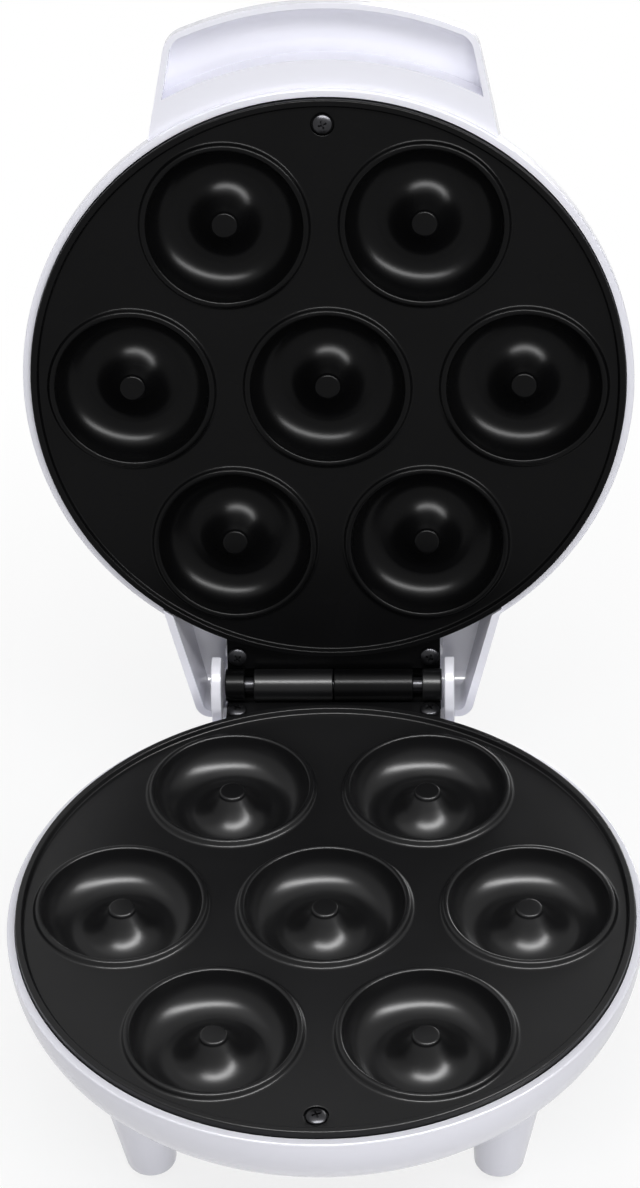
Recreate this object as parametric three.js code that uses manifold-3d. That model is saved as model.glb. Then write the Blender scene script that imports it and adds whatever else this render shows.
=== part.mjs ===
import * as THREE from 'three';
import { mergeVertices } from 'three/addons/utils/BufferGeometryUtils.js';
import Module from 'manifold-3d';

const wasm = await Module();
wasm.setup();

// A round electric maker for seven ring cakes, seen open: a bowl on four legs, a lid on a rear
// hinge, and one aluminium casting used twice as the lower and the upper cooking plate.
// Millimetres. While the shape is worked out, the origin is the middle of the lower plate,
// level with its rim, the hinge lies towards +Y and +Z is up. Lid pieces are drawn shut.

// Clearances that every fit shares.
const SEAT_GAP = 0.3;
const RUNNING_GAP = 0.5;
const OVERRUN = 2.0;
const HALF = 0.5;

// Counts of flat sides on round work.
const HOUSING_SIDES = 44;
const PLATE_SIDES = 40;
const CAVITY_SIDES = 16;
const KNUCKLE_SIDES = 16;
const SMALL_SIDES = 10;
const ARC_STEPS = 4;
const LEG_ROUND_STEPS = 2;

// Housings. Most of the maker is set out from their radius.
const HOUSING_RADIUS = 98.0;
const HOUSING_WALL = 2.4;
const RIM_DROP = 2.5;
const RIM_BAND_HEIGHT = 2.5;
const LEDGE_WIDTH = 2.2;
const BASE_CORNER_RADIUS = 28.0;
const LID_CORNER_RADIUS = 32.0;
const LID_CROWN = 2.5;

// Cooking plate casting, which drops into the rim of a housing.
const PLATE_RADIUS = HOUSING_RADIUS - HOUSING_WALL - SEAT_GAP;
const PLATE_RIM_WIDTH = 2.0;
const PLATE_RIM_SLOPE = 0.7;
const PLATE_RIM_RISE = 1.8;
const PLATE_WEB = 2.6;
const PLATE_SKIRT_DEPTH = 8.0;
const PLATE_SKIRT_WALL = 2.4;
const RIM_FOOT_RADIUS = PLATE_RADIUS - PLATE_RIM_WIDTH - PLATE_RIM_SLOPE;

// Ring cavities: one in the middle and a ring of them round it, as large as the plate allows.
const CAVITY_COUNT = 6;
const CAVITY_RADII_TO_RIM = 3;
const CAVITY_MARGIN = 2.3;
const CAVITY_LAND = 7.8;
const CAVITY_LIP_RUN = 2.7;
const CAVITY_WALL_RUN = 9.3;
const CAVITY_DEPTH = 11.0;
const CAVITY_WALL = 2.4;
const CUP_FLAT_RUN = 5.5;
const POST_RADIUS = 4.2;
const POST_DROP = 2.1;
const LIP_SINK_SHARE = 0.25;
const CAVITY_FOOT_RADIUS = (RIM_FOOT_RADIUS - CAVITY_MARGIN - CAVITY_LAND) / CAVITY_RADII_TO_RIM;
const CAVITY_PITCH_RADIUS = CAVITY_FOOT_RADIUS * 2 + CAVITY_LAND;
const CAVITY_CREST_RADIUS = CAVITY_FOOT_RADIUS - CAVITY_LIP_RUN;
const GROOVE_RADIUS = CAVITY_CREST_RADIUS - CAVITY_WALL_RUN;

// Hinge: two barrel halves and two end lugs on one pin.
const HINGE_BEHIND = 7.3;
const HINGE_Y = HOUSING_RADIUS + HINGE_BEHIND;
const OPEN_ANGLE = THREE.MathUtils.degToRad(102.84);
const PIN_RADIUS = 2.5;
const PIN_END_CHAMFER = 0.6;
const BARREL_WALL = 2.6;
const BARREL_RADIUS = PIN_RADIUS + SEAT_GAP + BARREL_WALL;
const LUG_END = 36.0;
const LUG_WIDTH = 6.5;
const LUG_START = LUG_END - LUG_WIDTH;
const KNUCKLE_SPACE = 3.0;
const BARREL_END = LUG_START - KNUCKLE_SPACE;

// Rear flange of each plate, which carries the knuckles and two screws.
const FLANGE_SETBACK = 0.5;
const FLANGE_HALF_WIDTH = LUG_END - FLANGE_SETBACK;
const FLANGE_DROP = 4.0;
const FLANGE_THICKNESS = 3.6;
const KNUCKLE_WEB_HALF = 3.4;

// Plate screws: one at the front of a plate and two on its flange.
const SCREW_SHANK_RADIUS = 1.5;
const SCREW_HEAD_RADIUS = 3.2;
const SCREW_HEAD_HEIGHT = 1.6;
const SCREW_LENGTH = 13.0;
const FRONT_SCREW_INSET = 8.3;
const FRONT_SCREW_Y = FRONT_SCREW_INSET - PLATE_RADIUS;
const REAR_SCREW_INSET = 3.5;
const REAR_SCREW_X = FLANGE_HALF_WIDTH - REAR_SCREW_INSET;
const REAR_SCREW_AHEAD = 8.7;
const REAR_SCREW_Y = HINGE_Y - REAR_SCREW_AHEAD;
const DIMPLE_DEPTH = 1.4;
const SCREW_PAD_RADIUS = 5.2;
const BOSS_RADIUS = 4.4;
const BOSS_HOLE_DEPTH = 14.0;

// Rear pylons of the bowl with the ears that hide the ends of the pin.
const EAR_CLEARANCE = 0.9;
const EAR_INNER_X = LUG_END + EAR_CLEARANCE;
const EAR_THICKNESS = 3.3;
const EAR_OUTER_X = EAR_INNER_X + EAR_THICKNESS;
const EAR_RADIUS = 12.0;
const EAR_REAR_RADIUS = 9.0;
const EAR_REAR_TURN = THREE.MathUtils.degToRad(20);
const PYLON_WIDTH = 13.2;
const PYLON_INNER_X = EAR_OUTER_X - PYLON_WIDTH;
const PYLON_DEPTH = 26.0;

// Legs, moulded with the bowl, each with a rubber foot pushed in from below.
const STAND_HEIGHT = 61.6;
const LEG_RADIUS = 7.4;
const LEG_TOP_RADIUS = 11.4;
const LEG_ROUND = 2.6;
const LEG_FRONT_INSET = 24.4;
const LEG_FRONT_ANGLE = THREE.MathUtils.degToRad(43.9);
const LEG_FRONT_X = (HOUSING_RADIUS - LEG_FRONT_INSET) * Math.cos(LEG_FRONT_ANGLE);
const LEG_FRONT_Y = -(HOUSING_RADIUS - LEG_FRONT_INSET) * Math.sin(LEG_FRONT_ANGLE);
const LEG_REAR_INSET = 4.2;
const LEG_REAR_X = EAR_OUTER_X - LEG_REAR_INSET;
const LEG_REAR_AHEAD = 15.3;
const LEG_REAR_Y = HINGE_Y - LEG_REAR_AHEAD;
const FOOT_PROUD = 1.1;
const FOOT_RECESS = 0.8;
const FOOT_RADIUS = 5.0;
const FOOT_STEM_RADIUS = 3.4;
const FOOT_STEM_LENGTH = 7.0;
const LEG_CORE_TOP_GAP = 6.0;

// Cord gland in the rear of the bowl, and slots that let its floor breathe.
const GLAND_RADIUS = 6.5;
const GLAND_HOLE_RADIUS = 4.0;
const GLAND_LENGTH = 5.0;
const GLAND_DEPTH = 19.0;
const VENT_COUNT = 6;
const VENT_RADIUS = 34.0;
const VENT_LENGTH = 18.0;
const VENT_WIDTH = 2.4;

// Rear hood of the lid, which covers the hinge and stops against the pylons when open.
const HOOD_FRONT_X = 55.5;
const HOOD_START_INSET = 19.0;
const HOOD_FRONT_Y = HOUSING_RADIUS - HOOD_START_INSET;
const HOOD_EAR_GAP = 5.2;
const HOOD_REAR_X = EAR_OUTER_X + HOOD_EAR_GAP;
const HOOD_BEHIND = 11.9;
const HOOD_REAR_Y = HINGE_Y + HOOD_BEHIND;
const HOOD_WALL = 2.2;
const HOOD_CORNER = 4.0;
const HOOD_REAR_HEIGHT = 24.0;
const HOOD_ROUND = 7.0;

// Handle: a scooped lip on the front of the lid.
const HANDLE_ROOT_X = 55.3;
const HANDLE_ROOT_INSET = 20.0;
const HANDLE_ROOT_Y = HANDLE_ROOT_INSET - HOUSING_RADIUS;
const HANDLE_CORNER_X = 47.0;
const HANDLE_CORNER_REACH = 15.8;
const HANDLE_CORNER_Y = -(HOUSING_RADIUS + HANDLE_CORNER_REACH);
const HANDLE_OVERHANG = 26.6;
const HANDLE_REACH = HOUSING_RADIUS + HANDLE_OVERHANG;
const HANDLE_FRONT_RADIUS = 113.8;
const HANDLE_CORNER_ROUND = 8.0;
const HANDLE_LIP = 1.8;
const HANDLE_BAND_DROP = 4.5;
const HANDLE_BAND_WIDTH = 8.8;
const HANDLE_BAND_RADIUS = HOUSING_RADIUS + HANDLE_BAND_WIDTH;
const HANDLE_SCOOP_DEPTH = 9.5;
const HANDLE_LIP_DEPTH = 2.4;
const HANDLE_EDGE_HEIGHT = 4.6;
const HANDLE_ROOF_INSET = 14.0;
const HANDLE_ROOF_START = HOUSING_RADIUS - HANDLE_ROOF_INSET;
const HANDLE_ROOF_HEIGHT = 23.0;
const HANDLE_SKIN = 2.4;

// Electrical pieces on and near the plates.
const SENSOR_INSET = 17.3;
const SENSOR_Y = PLATE_RADIUS - SENSOR_INSET;
const FUSE_RADIUS = 2.1;
const FUSE_LENGTH = 15.0;
const CLIP_WIDTH = 6.0;
const CLIP_THICKNESS = 0.8;
const CLIP_EAR = 5.0;
const THERMOSTAT_RADIUS = 8.0;
const THERMOSTAT_CAP_HEIGHT = 3.0;
const THERMOSTAT_BODY_RADIUS = 6.8;
const THERMOSTAT_HEIGHT = 9.5;
const BLADE_WIDTH = 4.8;
const BLADE_THICKNESS = 0.8;
const BLADE_LENGTH = 7.0;
const BLADE_X = 3.6;
const TERMINAL_HALF_WIDTH = 13.0;
const TERMINAL_AHEAD = 10.0;
const TERMINAL_Y = SENSOR_Y - TERMINAL_AHEAD;
const TERMINAL_DEPTH = 10.0;
const TERMINAL_HEIGHT = 9.0;
const TERMINAL_WAY_RADIUS = 2.2;
const TERMINAL_PITCH = 8.2;
const LEAD_RADIUS = 1.1;
const LEAD_SIDES = 5;
const LEAD_STEPS = 8;

// Heating element below each plate, its steel clamp and the screw of the clamp.
const HEATER_INSET = 49.3;
const HEATER_RADIUS = PLATE_RADIUS - HEATER_INSET;
const HEATER_TUBE_RADIUS = 3.2;
const HEATER_GAP_ANGLE = THREE.MathUtils.degToRad(26);
const HEATER_END_X = 9.0;
const HEATER_END_AHEAD = 18.0;
const HEATER_END_Y = SENSOR_Y - HEATER_END_AHEAD;
const HEATER_RING_POINTS = 16;
const HEATER_STEPS = 24;
const TUBE_SIDES = 6;
const CLAMP_THICKNESS = 1.2;
const CLAMP_HUB_RADIUS = 9.0;
const CLAMP_ARM_HALF = 5.0;
const CLAMP_ARM_COUNT = 3;
const CLAMP_BOSS_RADIUS = 4.6;
const CLAMP_SCREW_LENGTH = 7.0;

// Two small lenses in the top of the lid, each over a neon lamp.
const LENS_X = 9.0;
const LENS_INSET = 50.0;
const LENS_Y = LENS_INSET - HOUSING_RADIUS;
const LENS_FLANGE_RADIUS = 4.6;
const LENS_RADIUS = 3.4;
const LENS_BORE_RADIUS = 2.6;
const LENS_DOME = 1.3;
const LENS_SLEEVE = 11.0;
const LENS_FLANGE_HEIGHT = 0.7;
const LAMP_RADIUS = 2.2;
const LAMP_LENGTH = 9.0;

// Levels and depths worked out from the sizes above.
const HINGE_Z = SEAT_GAP * HALF;
const LID_LEVEL = SEAT_GAP;
const BAND_Z = LID_LEVEL + HANDLE_BAND_DROP;
const WEB_BOTTOM = PLATE_RIM_RISE + PLATE_WEB;
const SENSOR_SEAT = WEB_BOTTOM + SEAT_GAP;
const FUSE_Z = -(SENSOR_SEAT + FUSE_RADIUS);
const FLANGE_BOTTOM = FLANGE_DROP + FLANGE_THICKNESS;
const CUP_BOTTOM = CAVITY_DEPTH + CAVITY_WALL;
const HOUSING_INNER = PLATE_RADIUS + SEAT_GAP;
const LEDGE_INNER = HOUSING_INNER - LEDGE_WIDTH;
const LEDGE_DROP = PLATE_SKIRT_DEPTH + SEAT_GAP;
const CORNER_DROP = RIM_DROP + RIM_BAND_HEIGHT;
const BASE_DEPTH = CORNER_DROP + BASE_CORNER_RADIUS;
const BASE_FLOOR = BASE_DEPTH - HOUSING_WALL;
const LID_DEPTH = CORNER_DROP + LID_CORNER_RADIUS;
const SCREW_HOLE_RADIUS = SCREW_SHANK_RADIUS + SEAT_GAP;
const SCREW_PAD_BOTTOM = WEB_BOTTOM + PLATE_WEB;
const STOP_SLOPE = Math.tan(OPEN_ANGLE - Math.PI * HALF);
const HEATER_Z = -(CUP_BOTTOM + SEAT_GAP + HEATER_TUBE_RADIUS);
const CLAMP_TOP = HEATER_Z - HEATER_TUBE_RADIUS - SEAT_GAP;

// Finishes.
const whitePlastic = { color: 0xf4f3fa, roughness: 0.25, metalness: 0.0 };
const nonStick = { color: 0x0c0c0d, roughness: 0.3, metalness: 0.2 };
const steel = { color: 0xb9bcc0, roughness: 0.35, metalness: 1.0 };
const darkSteel = { color: 0x3a3b3e, roughness: 0.4, metalness: 1.0 };
const rubber = { color: 0x8d8f93, roughness: 0.85, metalness: 0.0 };
const ceramic = { color: 0xe9e4d6, roughness: 0.6, metalness: 0.0 };
const redLens = { color: 0xc4161c, roughness: 0.15, metalness: 0.0 };
const greenLens = { color: 0x1f9d3a, roughness: 0.15, metalness: 0.0 };
const glass = { color: 0xf2d9c8, roughness: 0.05, metalness: 0.0 };
const leadCover = { color: 0xf1efe8, roughness: 0.7, metalness: 0.0 };

// Turns a closed three.js geometry into a solid whose faces point outwards.
function solid(geometry) {
  const bare = geometry.clone();
  bare.deleteAttribute('normal');
  bare.deleteAttribute('uv');
  const merged = mergeVertices(bare);
  const points = merged.attributes.position.array;
  const index = merged.index.array;
  const kept = [];
  let volume = 0;
  const corners = [new THREE.Vector3(), new THREE.Vector3(), new THREE.Vector3()];
  for (let i = 0; i < index.length; i += corners.length) {
    const [a, b, c] = [index[i], index[i + 1], index[i + 2]];
    if (a === b || b === c || c === a) continue;
    corners[0].fromArray(points, a * corners.length);
    corners[1].fromArray(points, b * corners.length);
    corners[2].fromArray(points, c * corners.length);
    volume += corners[0].dot(corners[1].clone().cross(corners[2]));
    kept.push([a, b, c]);
  }
  const triVerts = new Uint32Array(kept.flatMap((t) => (volume < 0 ? [t[0], t[2], t[1]] : t)));
  const vertProperties = new Float32Array(points);
  return new wasm.Manifold(new wasm.Mesh({ numProp: 3, vertProperties, triVerts }));
}

// Turns a solid back into a three.js geometry.
function shapeOf(body) {
  const mesh = body.getMesh();
  const geometry = new THREE.BufferGeometry();
  geometry.setAttribute('position', new THREE.BufferAttribute(new Float32Array(mesh.vertProperties), 3));
  geometry.setIndex(new THREE.BufferAttribute(new Uint32Array(mesh.triVerts), 1));
  return geometry;
}

const joined = (bodies) => bodies.reduce((sum, body) => sum.add(body));

// A body of revolution about a vertical line at x, y. Points are radius and height.
function turned(points, sides, x = 0, y = 0) {
  const profile = [...points, points[0]].map(([r, z]) => new THREE.Vector2(r, z));
  const geometry = new THREE.LatheGeometry(profile, sides);
  geometry.rotateX(Math.PI * HALF);
  geometry.translate(x, y, 0);
  return solid(geometry);
}

// A solid disc or post about a vertical line.
const disc = (radius, low, high, sides, x = 0, y = 0) =>
  turned([[0, low], [radius, low], [radius, high], [0, high]], sides, x, y);

// A flat outline in plan, raised from low to high.
function raised(shape, low, high) {
  const geometry = new THREE.ExtrudeGeometry(shape, {
    depth: high - low, bevelEnabled: false, curveSegments: ARC_STEPS,
  });
  geometry.translate(0, 0, low);
  return solid(geometry);
}

// An outline in the side view, with points of y and z, carried from x0 to x1.
function across(points, x0, x1) {
  const shape = new THREE.Shape(points.map(([y, z]) => new THREE.Vector2(y, z)));
  const geometry = new THREE.ExtrudeGeometry(shape, { depth: x1 - x0, bevelEnabled: false });
  geometry.rotateX(Math.PI * HALF);
  geometry.rotateZ(Math.PI * HALF);
  geometry.translate(x0, 0, 0);
  return solid(geometry);
}

// A box between two corners.
function block([x0, y0, z0], [x1, y1, z1]) {
  const geometry = new THREE.BoxGeometry(x1 - x0, y1 - y0, z1 - z0);
  geometry.translate((x0 + x1) * HALF, (y0 + y1) * HALF, (z0 + z1) * HALF);
  return solid(geometry);
}

// A round bar along X about the line y, z.
function bar(radius, x0, x1, y, z, sides = SMALL_SIDES) {
  const geometry = new THREE.CylinderGeometry(radius, radius, x1 - x0, sides);
  geometry.rotateZ(Math.PI * HALF);
  geometry.translate((x0 + x1) * HALF, y, z);
  return solid(geometry);
}

// A round tube or wire along a curve.
function piped(points, radius, sides, steps) {
  const curve = new THREE.CatmullRomCurve3(points.map((p) => new THREE.Vector3(...p)));
  const section = new THREE.Shape();
  for (let i = 0; i < sides; i += 1) {
    const a = (i / sides) * Math.PI * 2;
    const p = [radius * Math.cos(a), radius * Math.sin(a)];
    if (i === 0) section.moveTo(...p);
    else section.lineTo(...p);
  }
  return solid(new THREE.ExtrudeGeometry(section, { steps, extrudePath: curve, bevelEnabled: false }));
}

// Points of an arc in any plane, from one angle to another.
function arc(cx, cy, radius, from, to, steps = ARC_STEPS) {
  const points = [];
  for (let i = 0; i <= steps; i += 1) {
    const a = from + ((to - from) * i) / steps;
    points.push([cx + radius * Math.cos(a), cy + radius * Math.sin(a)]);
  }
  return points;
}

// Middles of the seven cavities in plan.
function cavityCentres() {
  const centres = [[0, 0]];
  for (let i = 0; i < CAVITY_COUNT; i += 1) {
    const a = (i / CAVITY_COUNT) * Math.PI * 2;
    centres.push([CAVITY_PITCH_RADIUS * Math.cos(a), CAVITY_PITCH_RADIUS * Math.sin(a)]);
  }
  return centres;
}

// One ring cavity: raised lip, steep outer wall, round groove, and a post in the middle that
// flares out from its small flat top into the groove.
function cavityCup(x, y) {
  const lipRun = CAVITY_FOOT_RADIUS - CAVITY_CREST_RADIUS;
  const edgeRadius = CAVITY_FOOT_RADIUS + lipRun * LIP_SINK_SHARE;
  const edgeTop = -PLATE_RIM_RISE * (1 + LIP_SINK_SHARE);
  const edgeBottom = -(WEB_BOTTOM - PLATE_WEB * LIP_SINK_SHARE);
  const points = [[0, -POST_DROP], [POST_RADIUS, -POST_DROP]];
  const flankShares = [[0.23, 0.46], [0.45, 0.74], [0.7, 0.93]];
  for (const [out, down] of flankShares) {
    points.push([POST_RADIUS + (GROOVE_RADIUS - POST_RADIUS) * out,
      -POST_DROP - (CAVITY_DEPTH - POST_DROP) * down]);
  }
  const wallShares = [1, 0.6, 0.27, 0];
  for (const share of wallShares) {
    const a = share * Math.PI * HALF;
    const run = CAVITY_CREST_RADIUS - GROOVE_RADIUS;
    points.push([GROOVE_RADIUS + run * Math.cos(a), -CAVITY_DEPTH * Math.sin(a)]);
  }
  points.push([edgeRadius, edgeTop], [edgeRadius, edgeBottom]);
  points.push([GROOVE_RADIUS + CUP_FLAT_RUN, -CUP_BOTTOM], [0, -CUP_BOTTOM]);
  return turned(points, CAVITY_SIDES, x, y);
}

// Knuckles of one casting: the barrel half on the left and the lug on the right.
function knuckles() {
  const spans = [[-BARREL_END, -SEAT_GAP * HALF], [LUG_START, LUG_END]];
  const bodies = [];
  for (const [x0, x1] of spans) {
    bodies.push(bar(BARREL_RADIUS, x0, x1, HINGE_Y, HINGE_Z, KNUCKLE_SIDES));
    const web = [x0, HINGE_Y - KNUCKLE_WEB_HALF, -FLANGE_BOTTOM];
    bodies.push(block(web, [x1, HINGE_Y + KNUCKLE_WEB_HALF, HINGE_Z]));
  }
  return joined(bodies);
}

const screwNames = ['front', 'left', 'right'];
const screwPlaces = () => [
  [0, FRONT_SCREW_Y], [-REAR_SCREW_X, REAR_SCREW_Y], [REAR_SCREW_X, REAR_SCREW_Y],
];

// The whole casting, drawn as the lower plate. The upper one is the same casting turned over.
function plateCasting() {
  const inner = PLATE_RADIUS - PLATE_SKIRT_WALL;
  const slab = turned([
    [0, -PLATE_RIM_RISE], [RIM_FOOT_RADIUS, -PLATE_RIM_RISE], [RIM_FOOT_RADIUS + PLATE_RIM_SLOPE, 0],
    [PLATE_RADIUS, 0], [PLATE_RADIUS, -PLATE_SKIRT_DEPTH], [inner, -PLATE_SKIRT_DEPTH],
    [inner, -WEB_BOTTOM], [0, -WEB_BOTTOM],
  ], PLATE_SIDES);
  const screwPad = disc(SCREW_PAD_RADIUS, -SCREW_PAD_BOTTOM, -PLATE_RIM_RISE - DIMPLE_DEPTH,
    SMALL_SIDES, 0, FRONT_SCREW_Y);
  const flangeStart = PLATE_RADIUS - PLATE_SKIRT_WALL - PLATE_RIM_WIDTH * 2;
  const flange = block([-FLANGE_HALF_WIDTH, flangeStart - KNUCKLE_WEB_HALF, -FLANGE_BOTTOM],
    [FLANGE_HALF_WIDTH, HINGE_Y + KNUCKLE_WEB_HALF, -FLANGE_DROP]);
  const skirtHollow = disc(inner, -PLATE_SKIRT_DEPTH - OVERRUN, -WEB_BOTTOM, PLATE_SIDES);
  const troughEnd = FLANGE_HALF_WIDTH + OVERRUN;
  const trough = bar(BARREL_RADIUS + RUNNING_GAP, -troughEnd, troughEnd, HINGE_Y, HINGE_Z, KNUCKLE_SIDES);
  const rear = flange.subtract(skirtHollow).subtract(trough).add(knuckles());
  const holes = cavityCentres().map(([x, y]) =>
    disc(CAVITY_FOOT_RADIUS - RUNNING_GAP, -WEB_BOTTOM - OVERRUN, OVERRUN, CAVITY_SIDES, x, y));
  const cups = cavityCentres().map(([x, y]) => cavityCup(x, y));
  const bossTop = -CAVITY_DEPTH - CAVITY_WALL * HALF;
  const clampBoss = disc(CLAMP_BOSS_RADIUS, CLAMP_TOP + SEAT_GAP, bossTop, SMALL_SIDES);
  const holeTop = CLAMP_TOP + CLAMP_SCREW_LENGTH;
  const clampHole = disc(SCREW_HOLE_RADIUS, CLAMP_TOP - OVERRUN, holeTop, SMALL_SIDES);
  const screwHoles = screwPlaces().map(([x, y]) =>
    disc(SCREW_HOLE_RADIUS, -PLATE_SKIRT_DEPTH - OVERRUN, OVERRUN, SMALL_SIDES, x, y));
  const dimple = disc(SCREW_HEAD_RADIUS + RUNNING_GAP, -PLATE_RIM_RISE - DIMPLE_DEPTH, OVERRUN,
    SMALL_SIDES, 0, FRONT_SCREW_Y);
  const pinHole = bar(PIN_RADIUS + SEAT_GAP, -LUG_END - OVERRUN, LUG_END + OVERRUN, HINGE_Y, HINGE_Z);
  return joined([slab, screwPad]).subtract(joined(holes)).add(joined([rear, clampBoss, ...cups]))
    .subtract(joined([clampHole, dimple, pinHole, ...screwHoles]));
}

// A pan head screw with its head resting just above the level given.
function screw(x, y, level, length) {
  const low = level + SEAT_GAP;
  return turned([
    [0, low - length], [SCREW_SHANK_RADIUS, low - length + SCREW_SHANK_RADIUS], [SCREW_SHANK_RADIUS, low],
    [SCREW_HEAD_RADIUS, low],
    [SCREW_HEAD_RADIUS - SCREW_HEAD_HEIGHT * HALF, low + SCREW_HEAD_HEIGHT], [0, low + SCREW_HEAD_HEIGHT],
  ], SMALL_SIDES, x, y);
}

// The three screws that hold a plate to its housing.
function plateScrews() {
  const levels = [-PLATE_RIM_RISE - DIMPLE_DEPTH, -FLANGE_DROP, -FLANGE_DROP];
  return screwPlaces().map(([x, y], i) => screw(x, y, levels[i], SCREW_LENGTH));
}

// A housing wall profile, outer or inner, drawn downwards from the rim. Depth grows away from it.
function housingProfile(radius, cornerRadius, inset, crown) {
  const turn = cornerRadius - inset;
  const middle = radius - cornerRadius;
  const from = inset > 0 ? Math.acos((LEDGE_INNER - middle) / turn) : 0;
  return [...arc(middle, CORNER_DROP, turn, from, Math.PI * HALF), [0, CORNER_DROP + turn + crown]];
}

// Solid of revolution for the outside of a housing, with depth counted along the sign given.
function housingOuter(cornerRadius, crown, level, sign) {
  const points = [[0, RIM_DROP], [HOUSING_RADIUS, RIM_DROP],
    ...housingProfile(HOUSING_RADIUS, cornerRadius, 0, crown)];
  return turned(points.map(([r, d]) => [r, level + sign * d]), HOUSING_SIDES);
}

// The hollow of a housing: room for the plate, a ledge under its skirt, and the bowl behind.
function housingInner(cornerRadius, crown, level, sign) {
  const points = [[0, RIM_DROP - OVERRUN], [HOUSING_INNER, RIM_DROP - OVERRUN], [HOUSING_INNER, LEDGE_DROP],
    [LEDGE_INNER, LEDGE_DROP], ...housingProfile(HOUSING_RADIUS, cornerRadius, HOUSING_WALL, crown)];
  return turned(points.map(([r, d]) => [r, level + sign * d]), HOUSING_SIDES);
}

const legPlaces = () => [
  ['front_left', -LEG_FRONT_X, LEG_FRONT_Y], ['front_right', LEG_FRONT_X, LEG_FRONT_Y],
  ['rear_left', -LEG_REAR_X, LEG_REAR_Y], ['rear_right', LEG_REAR_X, LEG_REAR_Y],
];

// A leg whose outer side leans out into the bowl while its inner side stays upright.
function leg(x, y) {
  const low = -STAND_HEIGHT + FOOT_PROUD;
  const high = -CORNER_DROP - BASE_CORNER_RADIUS * HALF;
  const round = arc(LEG_RADIUS - LEG_ROUND, low + LEG_ROUND, LEG_ROUND,
    -Math.PI * HALF, 0, LEG_ROUND_STEPS);
  const profile = [[0, low], ...round, [LEG_TOP_RADIUS, high], [0, high + LEG_TOP_RADIUS]];
  const outline = [...profile, profile[0]].map(([r, z]) => new THREE.Vector2(r, z));
  const geometry = new THREE.LatheGeometry(outline, SMALL_SIDES);
  geometry.rotateX(Math.PI * HALF);
  const away = new THREE.Vector2(x, y).normalize();
  const place = geometry.attributes.position;
  for (let i = 0; i < place.count; i += 1) {
    const rise = Math.min((place.getZ(i) - low) / (high - low), 1);
    const lean = rise * (LEG_TOP_RADIUS - LEG_RADIUS);
    place.setX(i, place.getX(i) + x + away.x * lean);
    place.setY(i, place.getY(i) + y + away.y * lean);
  }
  return solid(geometry);
}

// Room in a leg for its rubber foot, open below.
function legBore(x, y) {
  const low = -STAND_HEIGHT + FOOT_PROUD;
  return turned([
    [0, low - OVERRUN], [FOOT_RADIUS + SEAT_GAP, low - OVERRUN],
    [FOOT_RADIUS + SEAT_GAP, low + FOOT_RECESS], [FOOT_STEM_RADIUS + SEAT_GAP, low + FOOT_RECESS],
    [FOOT_STEM_RADIUS + SEAT_GAP, -BASE_DEPTH - LEG_CORE_TOP_GAP], [0, -BASE_DEPTH - LEG_CORE_TOP_GAP],
  ], SMALL_SIDES, x, y);
}

// A rubber foot: a round pad with a stem that is pushed up into the leg.
function foot(x, y) {
  const low = -STAND_HEIGHT;
  const top = low + FOOT_PROUD + FOOT_RECESS - SEAT_GAP;
  return turned([
    [0, low], [FOOT_RADIUS - FOOT_RECESS, low], [FOOT_RADIUS, low + FOOT_RECESS], [FOOT_RADIUS, top],
    [FOOT_STEM_RADIUS, top], [FOOT_STEM_RADIUS, top + FOOT_STEM_LENGTH], [0, top + FOOT_STEM_LENGTH],
  ], SMALL_SIDES, x, y);
}

// Place on the sloping stop face of a pylon at a height.
const stopY = (z) => HINGE_Y - STOP_SLOPE * (HINGE_Z - z) - SEAT_GAP;

// Side view of an ear: a round head about the pin, and a stem down to the legs.
function earOutline(low) {
  const head = arc(HINGE_Y, HINGE_Z, EAR_RADIUS, Math.PI, Math.PI * HALF, ARC_STEPS);
  const back = arc(HINGE_Y, HINGE_Z, EAR_REAR_RADIUS, EAR_REAR_TURN, -Math.PI * HALF, ARC_STEPS);
  return [[HINGE_Y - EAR_RADIUS, low], ...head, ...back,
    [stopY(-EAR_REAR_RADIUS), -EAR_REAR_RADIUS], [stopY(low), low]];
}

// One rear pylon: the ear outside, and the block that takes the rear screw of the plate.
function pylon(side) {
  const low = -PYLON_DEPTH - FLANGE_BOTTOM;
  const top = -FLANGE_BOTTOM - SEAT_GAP;
  const front = HINGE_Y - EAR_RADIUS * 2;
  const ear = [side * EAR_INNER_X, side * EAR_OUTER_X].sort((a, b) => a - b);
  const body = [side * PYLON_INNER_X, side * EAR_OUTER_X].sort((a, b) => a - b);
  const outline = [[front, low], [front, top], [stopY(top), top], [stopY(low), low]];
  return across(earOutline(low), ...ear).add(across(outline, ...body));
}

// The bowl: shell, legs, pylons with ears, screw bosses, cord gland and floor slots.
function baseShell() {
  const outer = joined([
    housingOuter(BASE_CORNER_RADIUS, 0, 0, -1),
    ...legPlaces().map(([, x, y]) => leg(x, y)),
    pylon(-1), pylon(1), gland(),
  ]);
  const boss = disc(BOSS_RADIUS, -BASE_DEPTH, -SCREW_PAD_BOTTOM - SEAT_GAP, SMALL_SIDES, 0, FRONT_SCREW_Y);
  const hollow = housingInner(BASE_CORNER_RADIUS, 0, 0, -1).subtract(boss);
  const flangeRoom = block([-FLANGE_HALF_WIDTH - RUNNING_GAP, 0, -FLANGE_BOTTOM - SEAT_GAP],
    [FLANGE_HALF_WIDTH + RUNNING_GAP, HINGE_Y, -RIM_DROP + OVERRUN]);
  const screwHoles = screwPlaces().map(([x, y]) =>
    disc(SCREW_HOLE_RADIUS, -FLANGE_BOTTOM - BOSS_HOLE_DEPTH, -FLANGE_DROP, SMALL_SIDES, x, y));
  const bores = legPlaces().map(([, x, y]) => legBore(x, y));
  const cuts = [flangeRoom, glandHole(), ...screwHoles, ...bores, ...vents()];
  return outer.subtract(hollow).subtract(joined(cuts));
}

// A round bar along Y, for the gland.
function barY(radius, y0, y1, z) {
  const geometry = new THREE.CylinderGeometry(radius, radius, y1 - y0, SMALL_SIDES);
  geometry.translate(0, (y0 + y1) * HALF, z);
  return solid(geometry);
}

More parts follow.
